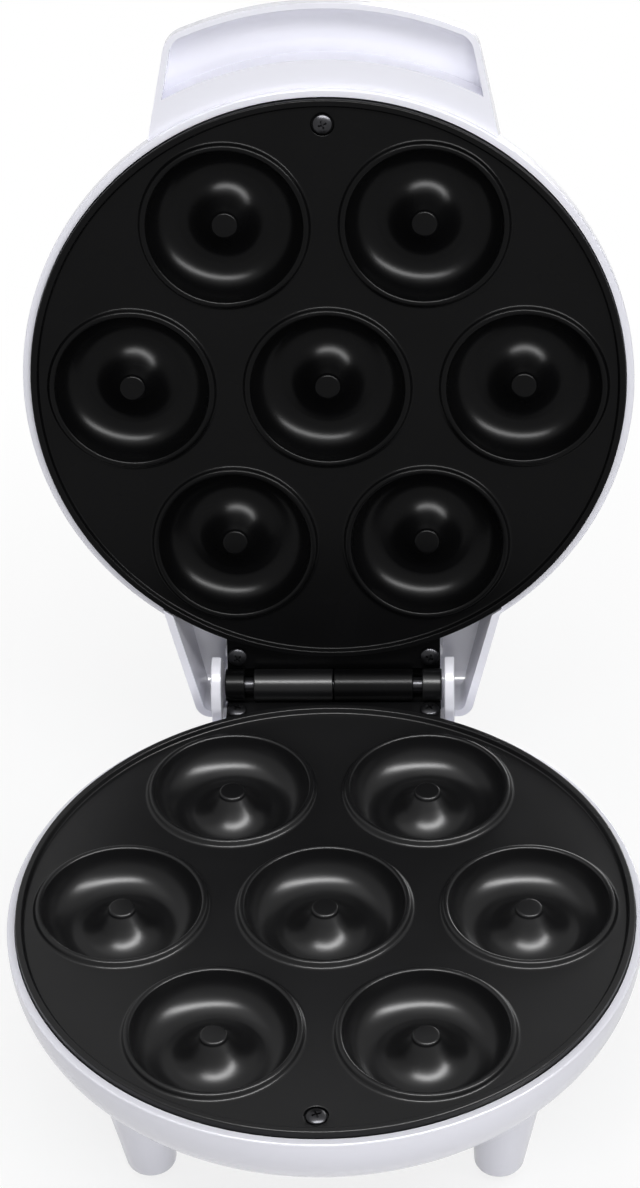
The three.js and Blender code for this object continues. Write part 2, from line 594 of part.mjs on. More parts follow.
const glandStart = HOUSING_RADIUS - BASE_CORNER_RADIUS;
const glandEnd = HOUSING_RADIUS + GLAND_LENGTH * HALF;
const gland = () => barY(GLAND_RADIUS, glandStart, glandEnd, -GLAND_DEPTH);
const glandHole = () => barY(GLAND_HOLE_RADIUS, glandStart, glandEnd + OVERRUN, -GLAND_DEPTH);

// Slots through the floor of the bowl.
function vents() {
  const slots = [];
  for (let i = 0; i < VENT_COUNT; i += 1) {
    const geometry = new THREE.BoxGeometry(VENT_LENGTH, VENT_WIDTH, HOUSING_WALL * 2);
    geometry.translate(VENT_RADIUS, 0, -BASE_DEPTH);
    geometry.rotateZ(((i + HALF) / VENT_COUNT) * Math.PI * 2);
    slots.push(solid(geometry));
  }
  return slots;
}

// Plan of the rear hood of the lid, drawn in by an inset.
function hoodPlan(inset) {
  const rearX = HOOD_REAR_X - inset;
  const rearY = HOOD_REAR_Y - inset;
  const frontX = HOOD_FRONT_X - inset;
  const rise = HOOD_REAR_Y - HOOD_FRONT_Y;
  const lean = (HOOD_FRONT_X - HOOD_REAR_X) / rise;
  const startX = frontX + lean * HOOD_FRONT_Y;
  const round = Math.max(HOOD_CORNER - inset, SEAT_GAP);
  const shape = new THREE.Shape();
  shape.moveTo(-startX, 0);
  shape.lineTo(startX, 0);
  shape.lineTo(rearX + lean * round, rearY - round);
  shape.quadraticCurveTo(rearX, rearY, rearX - round, rearY);
  shape.lineTo(-rearX + round, rearY);
  shape.quadraticCurveTo(-rearX, rearY, -rearX - lean * round, rearY - round);
  shape.closePath();
  return shape;
}

// Side view of the hood's roof, drawn in by an inset: down from the dome, then round to the rear.
function hoodSide(inset, low) {
  const top = LID_DEPTH - LID_CROWN - inset;
  const slopeStart = HOUSING_RADIUS - LID_CORNER_RADIUS;
  const shoulder = HOOD_REAR_HEIGHT - inset;
  const round = HOOD_ROUND - inset;
  const rear = arc(HOOD_REAR_Y - inset - round, shoulder - round, round, Math.PI * HALF, 0, ARC_STEPS);
  return [[0, low], [0, top], [slopeStart, top], ...rear, [HOOD_REAR_Y - inset, low]];
}

// The hood, drawn in by an inset, and clear of the plate that sits in front of it.
function hood(inset) {
  const low = HINGE_Z - (inset > 0 ? OVERRUN : 0);
  const plateRoom = disc(HOUSING_INNER, low - OVERRUN, LID_LEVEL + LEDGE_DROP, HOUSING_SIDES);
  const side = across(hoodSide(inset, low - SEAT_GAP), -HOOD_FRONT_X * 2, HOOD_FRONT_X * 2);
  return raised(hoodPlan(inset), low, LID_DEPTH).intersect(side).subtract(plateRoom);
}

// Plan of the handle, drawn in by an inset: leaning sides, round corners and an arched front.
function handlePlan(inset) {
  const centreY = HANDLE_FRONT_RADIUS - HANDLE_REACH;
  const radius = HANDLE_FRONT_RADIUS - inset;
  const cornerX = HANDLE_CORNER_X - inset;
  const rootX = HANDLE_ROOT_X - inset;
  const lean = (HANDLE_ROOT_X - HANDLE_CORNER_X) / (HANDLE_ROOT_Y - HANDLE_CORNER_Y);
  const round = HANDLE_CORNER_ROUND - inset;
  const frontX = cornerX - round;
  const turnY = HANDLE_CORNER_Y + round * HALF;
  const turnX = cornerX + lean * round * HALF;
  const frontAngle = Math.asin(frontX / radius);
  const shape = new THREE.Shape();
  const start = HANDLE_ROOT_Y + (inset > 0 ? OVERRUN : 0);
  shape.moveTo(rootX, start);
  shape.lineTo(-rootX, start);
  shape.lineTo(-turnX, turnY);
  const frontY = (a) => centreY - radius * Math.cos(a);
  shape.quadraticCurveTo(-cornerX + inset * HALF, frontY(frontAngle) + round * HALF * HALF,
    -frontX, frontY(frontAngle));
  const steps = ARC_STEPS * 2;
  for (let i = 1; i <= steps; i += 1) {
    const a = -frontAngle + (2 * frontAngle * i) / steps;
    shape.lineTo(radius * Math.sin(a), frontY(a));
  }
  shape.quadraticCurveTo(cornerX - inset * HALF, frontY(frontAngle) + round * HALF * HALF, turnX, turnY);
  shape.closePath();
  return shape;
}

// Everything below the handle's roof, which falls from the dome to the lip. Lower moves it down.
function handleRoof(lower, low) {
  const centre = HANDLE_FRONT_RADIUS - HANDLE_REACH;
  const outerR = HANDLE_FRONT_RADIUS;
  const roofStart = LID_LEVEL + HANDLE_ROOF_HEIGHT - lower;
  const roofEnd = BAND_Z + HANDLE_EDGE_HEIGHT - lower;
  const startR = outerR - (HANDLE_REACH - HANDLE_ROOF_START);
  const bendShares = [[0, 0], [0.35, 0.08], [0.6, 0.27], [0.8, 0.56], [0.93, 0.84], [1, 1]];
  const roof = bendShares.map(([along, down]) =>
    [startR + (outerR - startR) * along, roofStart + (roofEnd - roofStart) * down]);
  const rim = outerR + OVERRUN;
  const points = [[0, low], [rim, low], [rim, roofEnd], ...roof.reverse(), [0, roofStart]];
  return turned(points, HOUSING_SIDES, 0, centre);
}

// Outer form of the handle.
const handleOuter = () => raised(handlePlan(0), BAND_Z, LID_LEVEL + LID_DEPTH)
  .intersect(handleRoof(0, BAND_Z - OVERRUN));

// Finger scoop below the handle, deepest at the band and rising to a thin lip.
function handleScoop() {
  const centre = HANDLE_FRONT_RADIUS - HANDLE_REACH;
  const lipR = HANDLE_FRONT_RADIUS - HANDLE_LIP;
  const bandR = HANDLE_BAND_RADIUS + centre;
  const run = lipR - bandR;
  const depthShares = [[-0.4, 1], [0.35, 1], [0.62, 0.86], [0.83, 0.6], [1, 0]];
  const floor = depthShares.map(([along, share]) =>
    [bandR + run * along, BAND_Z + HANDLE_LIP_DEPTH + (HANDLE_SCOOP_DEPTH - HANDLE_LIP_DEPTH) * share]);
  const low = BAND_Z - OVERRUN;
  const form = turned([[0, low], [lipR, low], ...floor.reverse(), [0, BAND_Z + HANDLE_SCOOP_DEPTH]],
    HOUSING_SIDES, 0, centre);
  const band = disc(HANDLE_BAND_RADIUS, low - OVERRUN, LID_DEPTH, HOUSING_SIDES);
  return raised(handlePlan(HANDLE_LIP), low, LID_DEPTH).intersect(form).subtract(band);
}

// Space inside the handle between the band below and the roof above, open to the dome.
function handleHollow() {
  const low = BAND_Z + HANDLE_SKIN;
  const keep = disc(HANDLE_BAND_RADIUS - HANDLE_SKIN, low, LID_DEPTH, HOUSING_SIDES);
  return raised(handlePlan(HANDLE_SKIN), low, LID_DEPTH)
    .intersect(handleRoof(HANDLE_SKIN, low - OVERRUN)).intersect(keep);
}

const lensPlaces = () => [['power', -LENS_X, LENS_Y], ['ready', LENS_X, LENS_Y]];
const roofAt = (x, y) => LID_LEVEL + LID_DEPTH
  + LID_CROWN * (1 - Math.hypot(x, y) / (HOUSING_RADIUS - LID_CORNER_RADIUS));

// The lid: dome, hinge hood, scooped handle, screw bosses and two lens holes.
function lidShell() {
  const dome = housingOuter(LID_CORNER_RADIUS, LID_CROWN, LID_LEVEL, 1);
  const outer = joined([dome, hood(0), handleOuter()]);
  const bosses = screwPlaces().map(([x, y], i) => {
    const seat = i === 0 ? SCREW_PAD_BOTTOM : FLANGE_BOTTOM;
    return disc(BOSS_RADIUS, LID_LEVEL + seat + SEAT_GAP, LID_LEVEL + LID_DEPTH, SMALL_SIDES, x, y);
  });
  const domeInside = housingInner(LID_CORNER_RADIUS, LID_CROWN, LID_LEVEL, 1);
  const hollow = joined([domeInside, hood(HOOD_WALL), handleHollow()]).subtract(joined(bosses));
  const holeEnd = LID_LEVEL + FLANGE_BOTTOM + BOSS_HOLE_DEPTH;
  const screwHoles = screwPlaces().map(([x, y]) =>
    disc(SCREW_HOLE_RADIUS, LID_LEVEL + FLANGE_DROP, holeEnd, SMALL_SIDES, x, y));
  const lensHoles = lensPlaces().map(([, x, y]) =>
    disc(LENS_RADIUS + SEAT_GAP, LID_DEPTH - LENS_SLEEVE, LID_DEPTH + LENS_SLEEVE, SMALL_SIDES, x, y));
  return outer.subtract(hollow).subtract(joined([handleScoop(), ...screwHoles, ...lensHoles]));
}

// Tubular heating element: an open ring with both ends brought out at the rear.
function heater() {
  const points = [];
  const from = Math.PI * HALF + HEATER_GAP_ANGLE;
  const sweep = Math.PI * 2 - HEATER_GAP_ANGLE * 2;
  points.push([-HEATER_END_X, HEATER_END_Y, HEATER_Z]);
  for (let i = 0; i <= HEATER_RING_POINTS; i += 1) {
    const a = from + (sweep * i) / HEATER_RING_POINTS;
    points.push([HEATER_RADIUS * Math.cos(a), HEATER_RADIUS * Math.sin(a), HEATER_Z]);
  }
  points.push([HEATER_END_X, HEATER_END_Y, HEATER_Z]);
  return piped(points, HEATER_TUBE_RADIUS, TUBE_SIDES, HEATER_STEPS);
}

// Pressed steel spider that presses the element against the plate.
function heaterClamp() {
  const low = CLAMP_TOP - CLAMP_THICKNESS;
  const reach = HEATER_RADIUS + HEATER_TUBE_RADIUS + CLAMP_ARM_HALF;
  const arms = [disc(CLAMP_HUB_RADIUS, low, CLAMP_TOP, SMALL_SIDES)];
  for (let i = 0; i < CLAMP_ARM_COUNT; i += 1) {
    const lipWall = HEATER_TUBE_RADIUS;
    const arm = new THREE.BoxGeometry(reach, CLAMP_ARM_HALF * 2, CLAMP_THICKNESS)
      .translate(reach * HALF, 0, (CLAMP_TOP + low) * HALF);
    const lip = new THREE.BoxGeometry(CLAMP_THICKNESS, CLAMP_ARM_HALF * 2, lipWall)
      .translate(reach - CLAMP_THICKNESS * HALF, 0, low + lipWall * HALF);
    const turn = -Math.PI * HALF + (i / CLAMP_ARM_COUNT) * Math.PI * 2;
    arms.push(solid(arm.rotateZ(turn)), solid(lip.rotateZ(turn)));
  }
  const hole = disc(SCREW_HOLE_RADIUS, low - OVERRUN, CLAMP_TOP + OVERRUN, SMALL_SIDES);
  return joined(arms).subtract(hole);
}

// The screw of the clamp, with its head below.
function clampScrew() {
  const level = CLAMP_TOP - CLAMP_THICKNESS - SEAT_GAP;
  return turned([
    [0, level - SCREW_HEAD_HEIGHT],
    [SCREW_HEAD_RADIUS - SCREW_HEAD_HEIGHT * HALF, level - SCREW_HEAD_HEIGHT],
    [SCREW_HEAD_RADIUS, level - SCREW_HEAD_HEIGHT * HALF], [SCREW_HEAD_RADIUS, level],
    [SCREW_SHANK_RADIUS, level], [SCREW_SHANK_RADIUS, level + CLAMP_SCREW_LENGTH],
    [0, level + CLAMP_SCREW_LENGTH],
  ], SMALL_SIDES);
}

// Thermal fuse: a ceramic cylinder lying across, just below the plate.
const thermalFuse = () => bar(FUSE_RADIUS, -FUSE_LENGTH * HALF, FUSE_LENGTH * HALF, SENSOR_Y, FUSE_Z);

// Steel strap that holds the fuse against the plate.
function fuseClip() {
  const inner = FUSE_RADIUS + SEAT_GAP;
  const outer = inner + CLIP_THICKNESS;
  const top = -SENSOR_SEAT;
  const bend = (radius, from, to) => arc(SENSOR_Y, FUSE_Z, radius, from, to, ARC_STEPS + 1);
  const outline = [
    [SENSOR_Y + outer + CLIP_EAR, top], [SENSOR_Y + inner, top], ...bend(inner, 0, -Math.PI),
    [SENSOR_Y - inner, top], [SENSOR_Y - outer, top], ...bend(outer, -Math.PI, 0),
    [SENSOR_Y + outer, top - CLIP_THICKNESS], [SENSOR_Y + outer + CLIP_EAR, top - CLIP_THICKNESS],
  ];
  return across(outline, -CLIP_WIDTH * HALF, CLIP_WIDTH * HALF);
}

// Disc thermostat: steel cap against the plate, ceramic body and two blades.
function thermostat() {
  const top = -SENSOR_SEAT;
  const low = top - THERMOSTAT_HEIGHT;
  const body = turned([
    [0, low], [THERMOSTAT_BODY_RADIUS, low], [THERMOSTAT_BODY_RADIUS, top - THERMOSTAT_CAP_HEIGHT],
    [THERMOSTAT_RADIUS, top - THERMOSTAT_CAP_HEIGHT], [THERMOSTAT_RADIUS, top], [0, top],
  ], CAVITY_SIDES, 0, SENSOR_Y);
  const blades = [-BLADE_X, BLADE_X].map((x) => block(
    [x - BLADE_THICKNESS * HALF, SENSOR_Y - BLADE_WIDTH * HALF, low - BLADE_LENGTH],
    [x + BLADE_THICKNESS * HALF, SENSOR_Y + BLADE_WIDTH * HALF, low + BLADE_THICKNESS]));
  return joined([body, ...blades]);
}

// Ceramic connector block on the floor of the bowl, with three ways right through.
function terminalBlock() {
  const low = -BASE_FLOOR + SEAT_GAP;
  const high = low + TERMINAL_HEIGHT;
  const body = block([-TERMINAL_HALF_WIDTH, TERMINAL_Y - TERMINAL_DEPTH, low],
    [TERMINAL_HALF_WIDTH, TERMINAL_Y, high]);
  const wayLength = TERMINAL_DEPTH * 2;
  const ways = [-1, 0, 1].map((i) => {
    const r = TERMINAL_WAY_RADIUS;
    const geometry = new THREE.CylinderGeometry(r, r, wayLength, TUBE_SIDES);
    geometry.translate(i * TERMINAL_PITCH, TERMINAL_Y, (low + high) * HALF);
    return solid(geometry);
  });
  return body.subtract(joined(ways));
}

// Leads inside the bowl, each from a way of the block to the element or the fuse.
function baseLeads() {
  const wayZ = -BASE_FLOOR + SEAT_GAP + TERMINAL_HEIGHT * HALF;
  const blockFront = TERMINAL_Y - TERMINAL_DEPTH + SEAT_GAP;
  const heaterEnd = HEATER_END_Y + SEAT_GAP + LEAD_RADIUS;
  const bend = LEAD_RADIUS * 4;
  const fuseEnd = FUSE_LENGTH * HALF + SEAT_GAP;
  const routes = [
    [[-HEATER_END_X, heaterEnd, HEATER_Z], [-HEATER_END_X, heaterEnd + bend, HEATER_Z - LEAD_RADIUS],
      [-HEATER_END_X * 2, heaterEnd, HEATER_Z - bend], [-TERMINAL_PITCH, blockFront - bend, wayZ],
      [-TERMINAL_PITCH, blockFront, wayZ]],
    [[HEATER_END_X, heaterEnd, HEATER_Z], [HEATER_END_X, heaterEnd + bend, HEATER_Z],
      [fuseEnd + bend, SENSOR_Y - bend, FUSE_Z - bend], [fuseEnd + bend, SENSOR_Y, FUSE_Z],
      [fuseEnd, SENSOR_Y, FUSE_Z]],
    [[-fuseEnd, SENSOR_Y, FUSE_Z], [-fuseEnd - bend, SENSOR_Y, FUSE_Z - LEAD_RADIUS],
      [-HEATER_END_X * 2, TERMINAL_Y + bend, HEATER_Z], [0, TERMINAL_Y + bend, wayZ + bend],
      [0, TERMINAL_Y + bend * HALF, wayZ], [0, TERMINAL_Y - LEAD_RADIUS, wayZ]],
  ];
  return routes.map((route) => piped(route, LEAD_RADIUS, LEAD_SIDES, LEAD_STEPS));
}

// Hinge pin with chamfered ends.
function hingePin() {
  const end = LUG_END;
  const geometry = new THREE.LatheGeometry([
    [0, -end], [PIN_RADIUS - PIN_END_CHAMFER, -end], [PIN_RADIUS, -end + PIN_END_CHAMFER],
    [PIN_RADIUS, end - PIN_END_CHAMFER], [PIN_RADIUS - PIN_END_CHAMFER, end], [0, end],
  ].map(([r, h]) => new THREE.Vector2(r, h)), SMALL_SIDES);
  geometry.rotateZ(Math.PI * HALF);
  geometry.translate(0, HINGE_Y, HINGE_Z);
  return solid(geometry);
}

// Indicator lens: a low dome and flange outside, and a sleeve inside that holds the lamp.
function lens(x, y) {
  const top = roofAt(x, y) + SEAT_GAP;
  return turned([
    [0, top + LENS_DOME], [LENS_RADIUS, top + LENS_FLANGE_HEIGHT + LENS_DOME * HALF * HALF],
    [LENS_FLANGE_RADIUS, top + LENS_FLANGE_HEIGHT * HALF], [LENS_FLANGE_RADIUS, top], [LENS_RADIUS, top],
    [LENS_RADIUS, top - LENS_SLEEVE], [LENS_BORE_RADIUS, top - LENS_SLEEVE],
    [LENS_BORE_RADIUS, top - LENS_DOME], [0, top - LENS_DOME],
  ], SMALL_SIDES, x, y);
}

// Neon lamp inside the sleeve of a lens.
function lamp(x, y) {
  const top = roofAt(x, y) + SEAT_GAP - LENS_DOME - SEAT_GAP;
  return turned([
    [0, top], [LAMP_RADIUS * HALF, top - LAMP_RADIUS * HALF * HALF], [LAMP_RADIUS, top - LAMP_RADIUS],
    [LAMP_RADIUS, top - LAMP_LENGTH], [0, top - LAMP_LENGTH],
  ], CAVITY_SIDES, x, y);
}

// Leads inside the lid, drawn turned over as the upper plate's own pieces are.
function lidLeads() {
  const heaterEnd = HEATER_END_Y + SEAT_GAP + LEAD_RADIUS;
  const bend = LEAD_RADIUS * 4;
  const bladeZ = -SENSOR_SEAT - THERMOSTAT_HEIGHT - BLADE_LENGTH - SEAT_GAP;
  const lampEnd = roofAt(LENS_X, LENS_Y) - LENS_DOME - LAMP_LENGTH - SEAT_GAP;
  const lampZ = LID_LEVEL - lampEnd;
  const routes = [-1, 1].map((side) => [
    [side * HEATER_END_X, heaterEnd, HEATER_Z],
    [side * HEATER_END_X, heaterEnd + bend, HEATER_Z - LEAD_RADIUS],
    [side * BLADE_X, SENSOR_Y, bladeZ - bend],
    [side * BLADE_X, SENSOR_Y, bladeZ],
  ]);
  const bladeMid = bladeZ + SEAT_GAP + BLADE_LENGTH * HALF;
  const bladeSide = BLADE_X + BLADE_THICKNESS * HALF + SEAT_GAP;
  const lampRoutes = [-1, 1].map((side) => [
    [side * LENS_X, LENS_Y, lampZ], [side * LENS_X, LENS_Y, lampZ + LEAD_RADIUS],
    [side * (LENS_X + bend), LENS_Y + bend * 2, lampZ + bend * HALF],
    [side * (LENS_X + bend * 2), HEATER_END_Y, lampZ + bend * HALF],
    [side * (bladeSide + bend * 2), SENSOR_Y, bladeMid], [side * bladeSide, SENSOR_Y, bladeMid],
  ]);
  return [...routes, ...lampRoutes].map((route) => piped(route, LEAD_RADIUS, LEAD_SIDES, LEAD_STEPS));
}

// Names a solid and gives it its finish.
function piece(name, body, finish) {
  const geometry = shapeOf(body);
  geometry.computeVertexNormals();
  const mesh = new THREE.Mesh(geometry, new THREE.MeshStandardMaterial(finish));
  mesh.name = name;
  return mesh;
}

// Pieces that stay with the bowl.
const base = new THREE.Group();
const casting = plateCasting();
base.add(piece('base_shell', baseShell(), whitePlastic));
for (const [name, x, y] of legPlaces()) base.add(piece(`foot_${name}`, foot(x, y), rubber));
base.add(piece('lower_plate', casting, nonStick));
plateScrews().forEach((body, i) => base.add(piece(`lower_screw_${screwNames[i]}`, body, darkSteel)));
base.add(piece('lower_heater', heater(), steel));
base.add(piece('lower_heater_clamp', heaterClamp(), steel));
base.add(piece('lower_clamp_screw', clampScrew(), steel));
base.add(piece('thermal_fuse', thermalFuse(), ceramic));
base.add(piece('fuse_clip', fuseClip(), steel));
base.add(piece('terminal_block', terminalBlock(), ceramic));
const baseLeadNames = ['supply', 'heater', 'fuse'];
baseLeads().forEach((body, i) => base.add(piece(`base_lead_${baseLeadNames[i]}`, body, leadCover)));
base.add(piece('hinge_pin', hingePin(), darkSteel));

// Pieces that ride with the lid. Those hung on the upper plate are drawn as for the lower one
// and turned over about the middle line.
const lid = new THREE.Group();
const turnedOver = new THREE.Group();
turnedOver.rotation.y = Math.PI;
turnedOver.position.z = LID_LEVEL;
turnedOver.add(piece('upper_plate', casting, nonStick));
plateScrews().forEach((body, i) => turnedOver.add(piece(`upper_screw_${screwNames[i]}`, body, darkSteel)));
turnedOver.add(piece('upper_heater', heater(), steel));
turnedOver.add(piece('upper_heater_clamp', heaterClamp(), steel));
turnedOver.add(piece('upper_clamp_screw', clampScrew(), steel));
turnedOver.add(piece('thermostat', thermostat(), ceramic));
const lidLeadNames = ['heater_a', 'heater_b', 'lamp_a', 'lamp_b'];
lidLeads().forEach((body, i) => turnedOver.add(piece(`lid_lead_${lidLeadNames[i]}`, body, leadCover)));
lid.add(turnedOver);
lid.add(piece('lid_shell', lidShell(), whitePlastic));
for (const [name, x, y] of lensPlaces()) {
  lid.add(piece(`${name}_lens`, lens(x, y), name === 'power' ? redLens : greenLens));
  lid.add(piece(`${name}_lamp`, lamp(x, y), glass));
}

// The lid is hung on the hinge and opened until its hood meets the pylons.
lid.position.set(0, -HINGE_Y, -HINGE_Z);
const swing = new THREE.Group();
swing.add(lid);
swing.position.set(0, HINGE_Y, HINGE_Z);
swing.rotation.x = -OPEN_ANGLE;

const maker = new THREE.Group();
maker.name = 'donut_maker';
maker.add(base, swing);

// The finished origin is on the surface it stands on, in the middle of its outline from above.
maker.updateMatrixWorld(true);
const bounds = new THREE.Box3().setFromObject(maker, true);
const middle = bounds.getCenter(new THREE.Vector3());
maker.position.set(-middle.x, -middle.y, -bounds.min.z);
maker.updateMatrixWorld(true);

export default maker;
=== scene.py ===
import math

import bpy
from mathutils import Matrix, Vector


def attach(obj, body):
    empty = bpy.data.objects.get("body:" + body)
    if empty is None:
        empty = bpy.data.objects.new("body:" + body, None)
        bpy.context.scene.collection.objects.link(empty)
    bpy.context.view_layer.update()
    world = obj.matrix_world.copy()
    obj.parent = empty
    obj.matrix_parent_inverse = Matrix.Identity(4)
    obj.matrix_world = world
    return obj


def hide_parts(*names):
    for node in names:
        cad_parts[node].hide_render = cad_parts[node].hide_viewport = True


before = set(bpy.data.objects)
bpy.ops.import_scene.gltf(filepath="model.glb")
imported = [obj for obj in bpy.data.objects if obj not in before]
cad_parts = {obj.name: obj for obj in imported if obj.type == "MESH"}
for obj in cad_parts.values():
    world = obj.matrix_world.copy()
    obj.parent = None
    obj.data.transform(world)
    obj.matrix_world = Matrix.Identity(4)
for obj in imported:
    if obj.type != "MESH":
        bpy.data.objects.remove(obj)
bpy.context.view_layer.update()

# The white bowl that everything stands on. It is one moulding in glossy plastic: a round
# bowl with a ledge for the plate, four legs, and two ears that hide the ends of the pin.
# It is modelled in millimetres about the middle of the lower plate, level with its rim.
HOUSING_RADIUS = 98.0
HOUSING_STEPS = 160
RIM_LEVEL = -2.5
RIM_ROUND = 0.6
BOWL_LOW = -33.0
BOWL_ROUND = 28.0
SAME_PLACE = 1e-4


def alone(piece):
    bpy.ops.object.select_all(action="DESELECT")
    piece.select_set(True)
    bpy.context.view_layer.objects.active = piece


def pick_corners(piece, wanted):
    alone(piece)
    bpy.ops.object.mode_set(mode="EDIT")
    bpy.ops.mesh.select_mode(type="VERT")
    bpy.ops.mesh.select_all(action="DESELECT")
    bpy.ops.object.mode_set(mode="OBJECT")
    for corner in piece.data.vertices:
        corner.select = bool(wanted(corner.co))
    bpy.ops.object.mode_set(mode="EDIT")


def traced(name, points, closed=False):
    """Draws an outline point by point in the XZ plane. A third number rounds that corner."""
    bpy.ops.object.select_all(action="DESELECT")
    bpy.ops.mesh.primitive_plane_add(size=1)
    outline = bpy.context.object
    outline.name = name
    bpy.ops.object.mode_set(mode="EDIT")
    bpy.ops.mesh.select_mode(type="VERT")
    bpy.ops.mesh.select_all(action="SELECT")
    bpy.ops.mesh.merge(type="CENTER")
    here = (0.0, 0.0)
    for count, point in enumerate(points):
        step = (point[0] - here[0], 0, point[1] - here[1])
        if count == 0:
            bpy.ops.transform.translate(value=step)
        else:
            bpy.ops.mesh.extrude_region_move(TRANSFORM_OT_translate={"value": step})
        here = point
    bpy.ops.object.mode_set(mode="OBJECT")
    if closed:
        ends = (points[0], points[-1])
        pick_corners(outline, lambda co: any(abs(co.x - end[0]) + abs(co.z - end[1]) < SAME_PLACE
                                             for end in ends))
        bpy.ops.mesh.edge_face_add()
        bpy.ops.object.mode_set(mode="OBJECT")
    for count, point in enumerate(points):
        if len(point) < 3:
            continue
        before, after = points[count - 1], points[(count + 1) % len(points)]
        into = math.atan2(point[1] - before[1], point[0] - before[0])
        out = math.atan2(after[1] - point[1], after[0] - point[0])
        turn = abs((out - into + math.pi) % (2 * math.pi) - math.pi)
        pick_corners(outline,
                     lambda co: abs(co.x - point[0]) + abs(co.z - point[1]) < SAME_PLACE)
        steps = max(3, int(turn * (8 + point[2] / 3)))
        bpy.ops.mesh.bevel(offset=point[2] * math.tan(turn / 2), segments=steps, affect="VERTICES")
        bpy.ops.object.mode_set(mode="OBJECT")
    return outline


def spun(outline, steps, middle=(0, 0, 0)):
    """Spins an outline about the vertical line through its middle into a closed turned body."""
    alone(outline)
    bpy.ops.object.mode_set(mode="EDIT")
    bpy.ops.mesh.select_all(action="SELECT")
    bpy.ops.mesh.spin(steps=steps, angle=2 * math.pi, center=(0, 0, 0), axis=(0, 0, 1))
    bpy.ops.mesh.select_all(action="SELECT")
    bpy.ops.mesh.remove_doubles(threshold=1e-3)
    bpy.ops.mesh.normals_make_consistent(inside=False)
    bpy.ops.transform.translate(value=middle)
    bpy.ops.object.mode_set(mode="OBJECT")
    return outline


bowl = spun(traced("bowl", [(0, RIM_LEVEL), (HOUSING_RADIUS, RIM_LEVEL, RIM_ROUND),
                            (HOUSING_RADIUS, BOWL_LOW, BOWL_ROUND), (0, BOWL_LOW)]),
            HOUSING_STEPS)

# The four legs are round and part of the same moulding. They widen upwards and lean outwards
# into the bowl, and their lower edges are rounded.
LEG_LOW = -60.5
LEG_HIGH = -19.0
LEG_LEAN = 4.0
LEG_FOOT_RADIUS = 7.4
LEG_ROOT_RADIUS = 11.4
LEG_ROUND = 2.6
leg_places = [(-53.03, -51.03), (53.03, -51.03), (-36.0, 90.0), (36.0, 90.0)]


def pick_faces(piece, wanted):
    alone(piece)
    bpy.ops.object.mode_set(mode="EDIT")
    bpy.ops.mesh.select_mode(type="FACE")
    bpy.ops.mesh.select_all(action="DESELECT")
    bpy.ops.object.mode_set(mode="OBJECT")
    for face in piece.data.polygons:
        face.select = bool(wanted(face.center, face.normal))
    bpy.ops.object.mode_set(mode="EDIT")


legs = []
for x, y in leg_places:
    bpy.ops.object.select_all(action="DESELECT")
    bpy.ops.mesh.primitive_cone_add(vertices=64, radius1=LEG_FOOT_RADIUS,
                                    radius2=LEG_ROOT_RADIUS, depth=LEG_HIGH - LEG_LOW,
                                    location=(x, y, (LEG_LOW + LEG_HIGH) / 2))
    leg = bpy.context.object
    bpy.ops.object.transform_apply(location=True, rotation=True, scale=True)
    lean = Vector((x, y)).normalized() * LEG_LEAN
    pick_faces(leg, lambda middle, normal: normal.z > 0.9)
    bpy.ops.transform.translate(value=(lean.x, lean.y, 0))
    bpy.ops.object.mode_set(mode="OBJECT")
    pick_faces(leg, lambda middle, normal: normal.z < -0.9)
    bpy.ops.mesh.bevel(offset=LEG_ROUND, segments=6, affect="EDGES")
    bpy.ops.object.mode_set(mode="OBJECT")
    legs.append(leg)

# Ears and pylons stand up from the rear of the bowl. The ear has a round head about the pin,
# the pylon beside it takes a screw, and the sloping rear face of both stops the open lid.
HINGE_Y = 105.3
HINGE_Z = 0.15
LID_OPEN = math.radians(102.84)
STOP_SLOPE = math.tan(LID_OPEN - math.pi / 2)
STOP_GAP = 0.3
EAR_LOW = -33.6
EAR_HEAD = 12.0
EAR_REAR = 9.0
EAR_NECK = -9.2
EAR_ROUND = 0.5
EAR_STEPS = 14
EAR_INSIDE = 36.9
EAR_OUTSIDE = 40.2
PYLON_TOP = -7.9
PYLON_FRONT = 81.3
PYLON_INSIDE = 27.0


def pulled(outline, way, distance):
    """Fills a closed outline and pulls it along one axis into a body."""
    alone(outline)
    bpy.ops.object.mode_set(mode="EDIT")
    bpy.ops.mesh.select_all(action="SELECT")
    bpy.ops.mesh.edge_face_add()
    step = tuple(distance if axis == way else 0 for axis in "xyz")
    bpy.ops.mesh.extrude_region_move(TRANSFORM_OT_translate={"value": step})
    bpy.ops.mesh.select_all(action="SELECT")
    bpy.ops.mesh.normals_make_consistent(inside=False)
    bpy.ops.object.mode_set(mode="OBJECT")
    return outline


def side_view(name, points, x0, x1):
    """A body with an outline of y and z, carried across from x0 to x1."""
    outline = traced(name, points, closed=True)
    alone(outline)
    outline.matrix_world = Matrix(((0, 1, 0, 0), (1, 0, 0, 0), (0, 0, 1, 0), (0, 0, 0, 1)))
    outline.matrix_world.translation = (x0, 0, 0)
    bpy.ops.object.transform_apply(location=True, rotation=True, scale=True)
    return pulled(outline, "x", x1 - x0)


def softened(piece, width, steps=3, over=40):
    """Rounds every edge that is sharper than the angle given."""
    alone(piece)
    edge = piece.modifiers.new("edge", "BEVEL")
    edge.width = width
    edge.segments = steps
    edge.limit_method = "ANGLE"
    edge.angle_limit = math.radians(over)
    bpy.ops.object.modifier_apply(modifier=edge.name)
    return piece


def stop_y(z):
    """How far back the stop face lies at a height."""
    return HINGE_Y - STOP_SLOPE * (HINGE_Z - z) - STOP_GAP


def hinge_arc(radius, start, end):
    turns = [math.radians(start + (end - start) * i / EAR_STEPS) for i in range(EAR_STEPS + 1)]
    return [(HINGE_Y + radius * math.cos(a), HINGE_Z + radius * math.sin(a)) for a in turns]


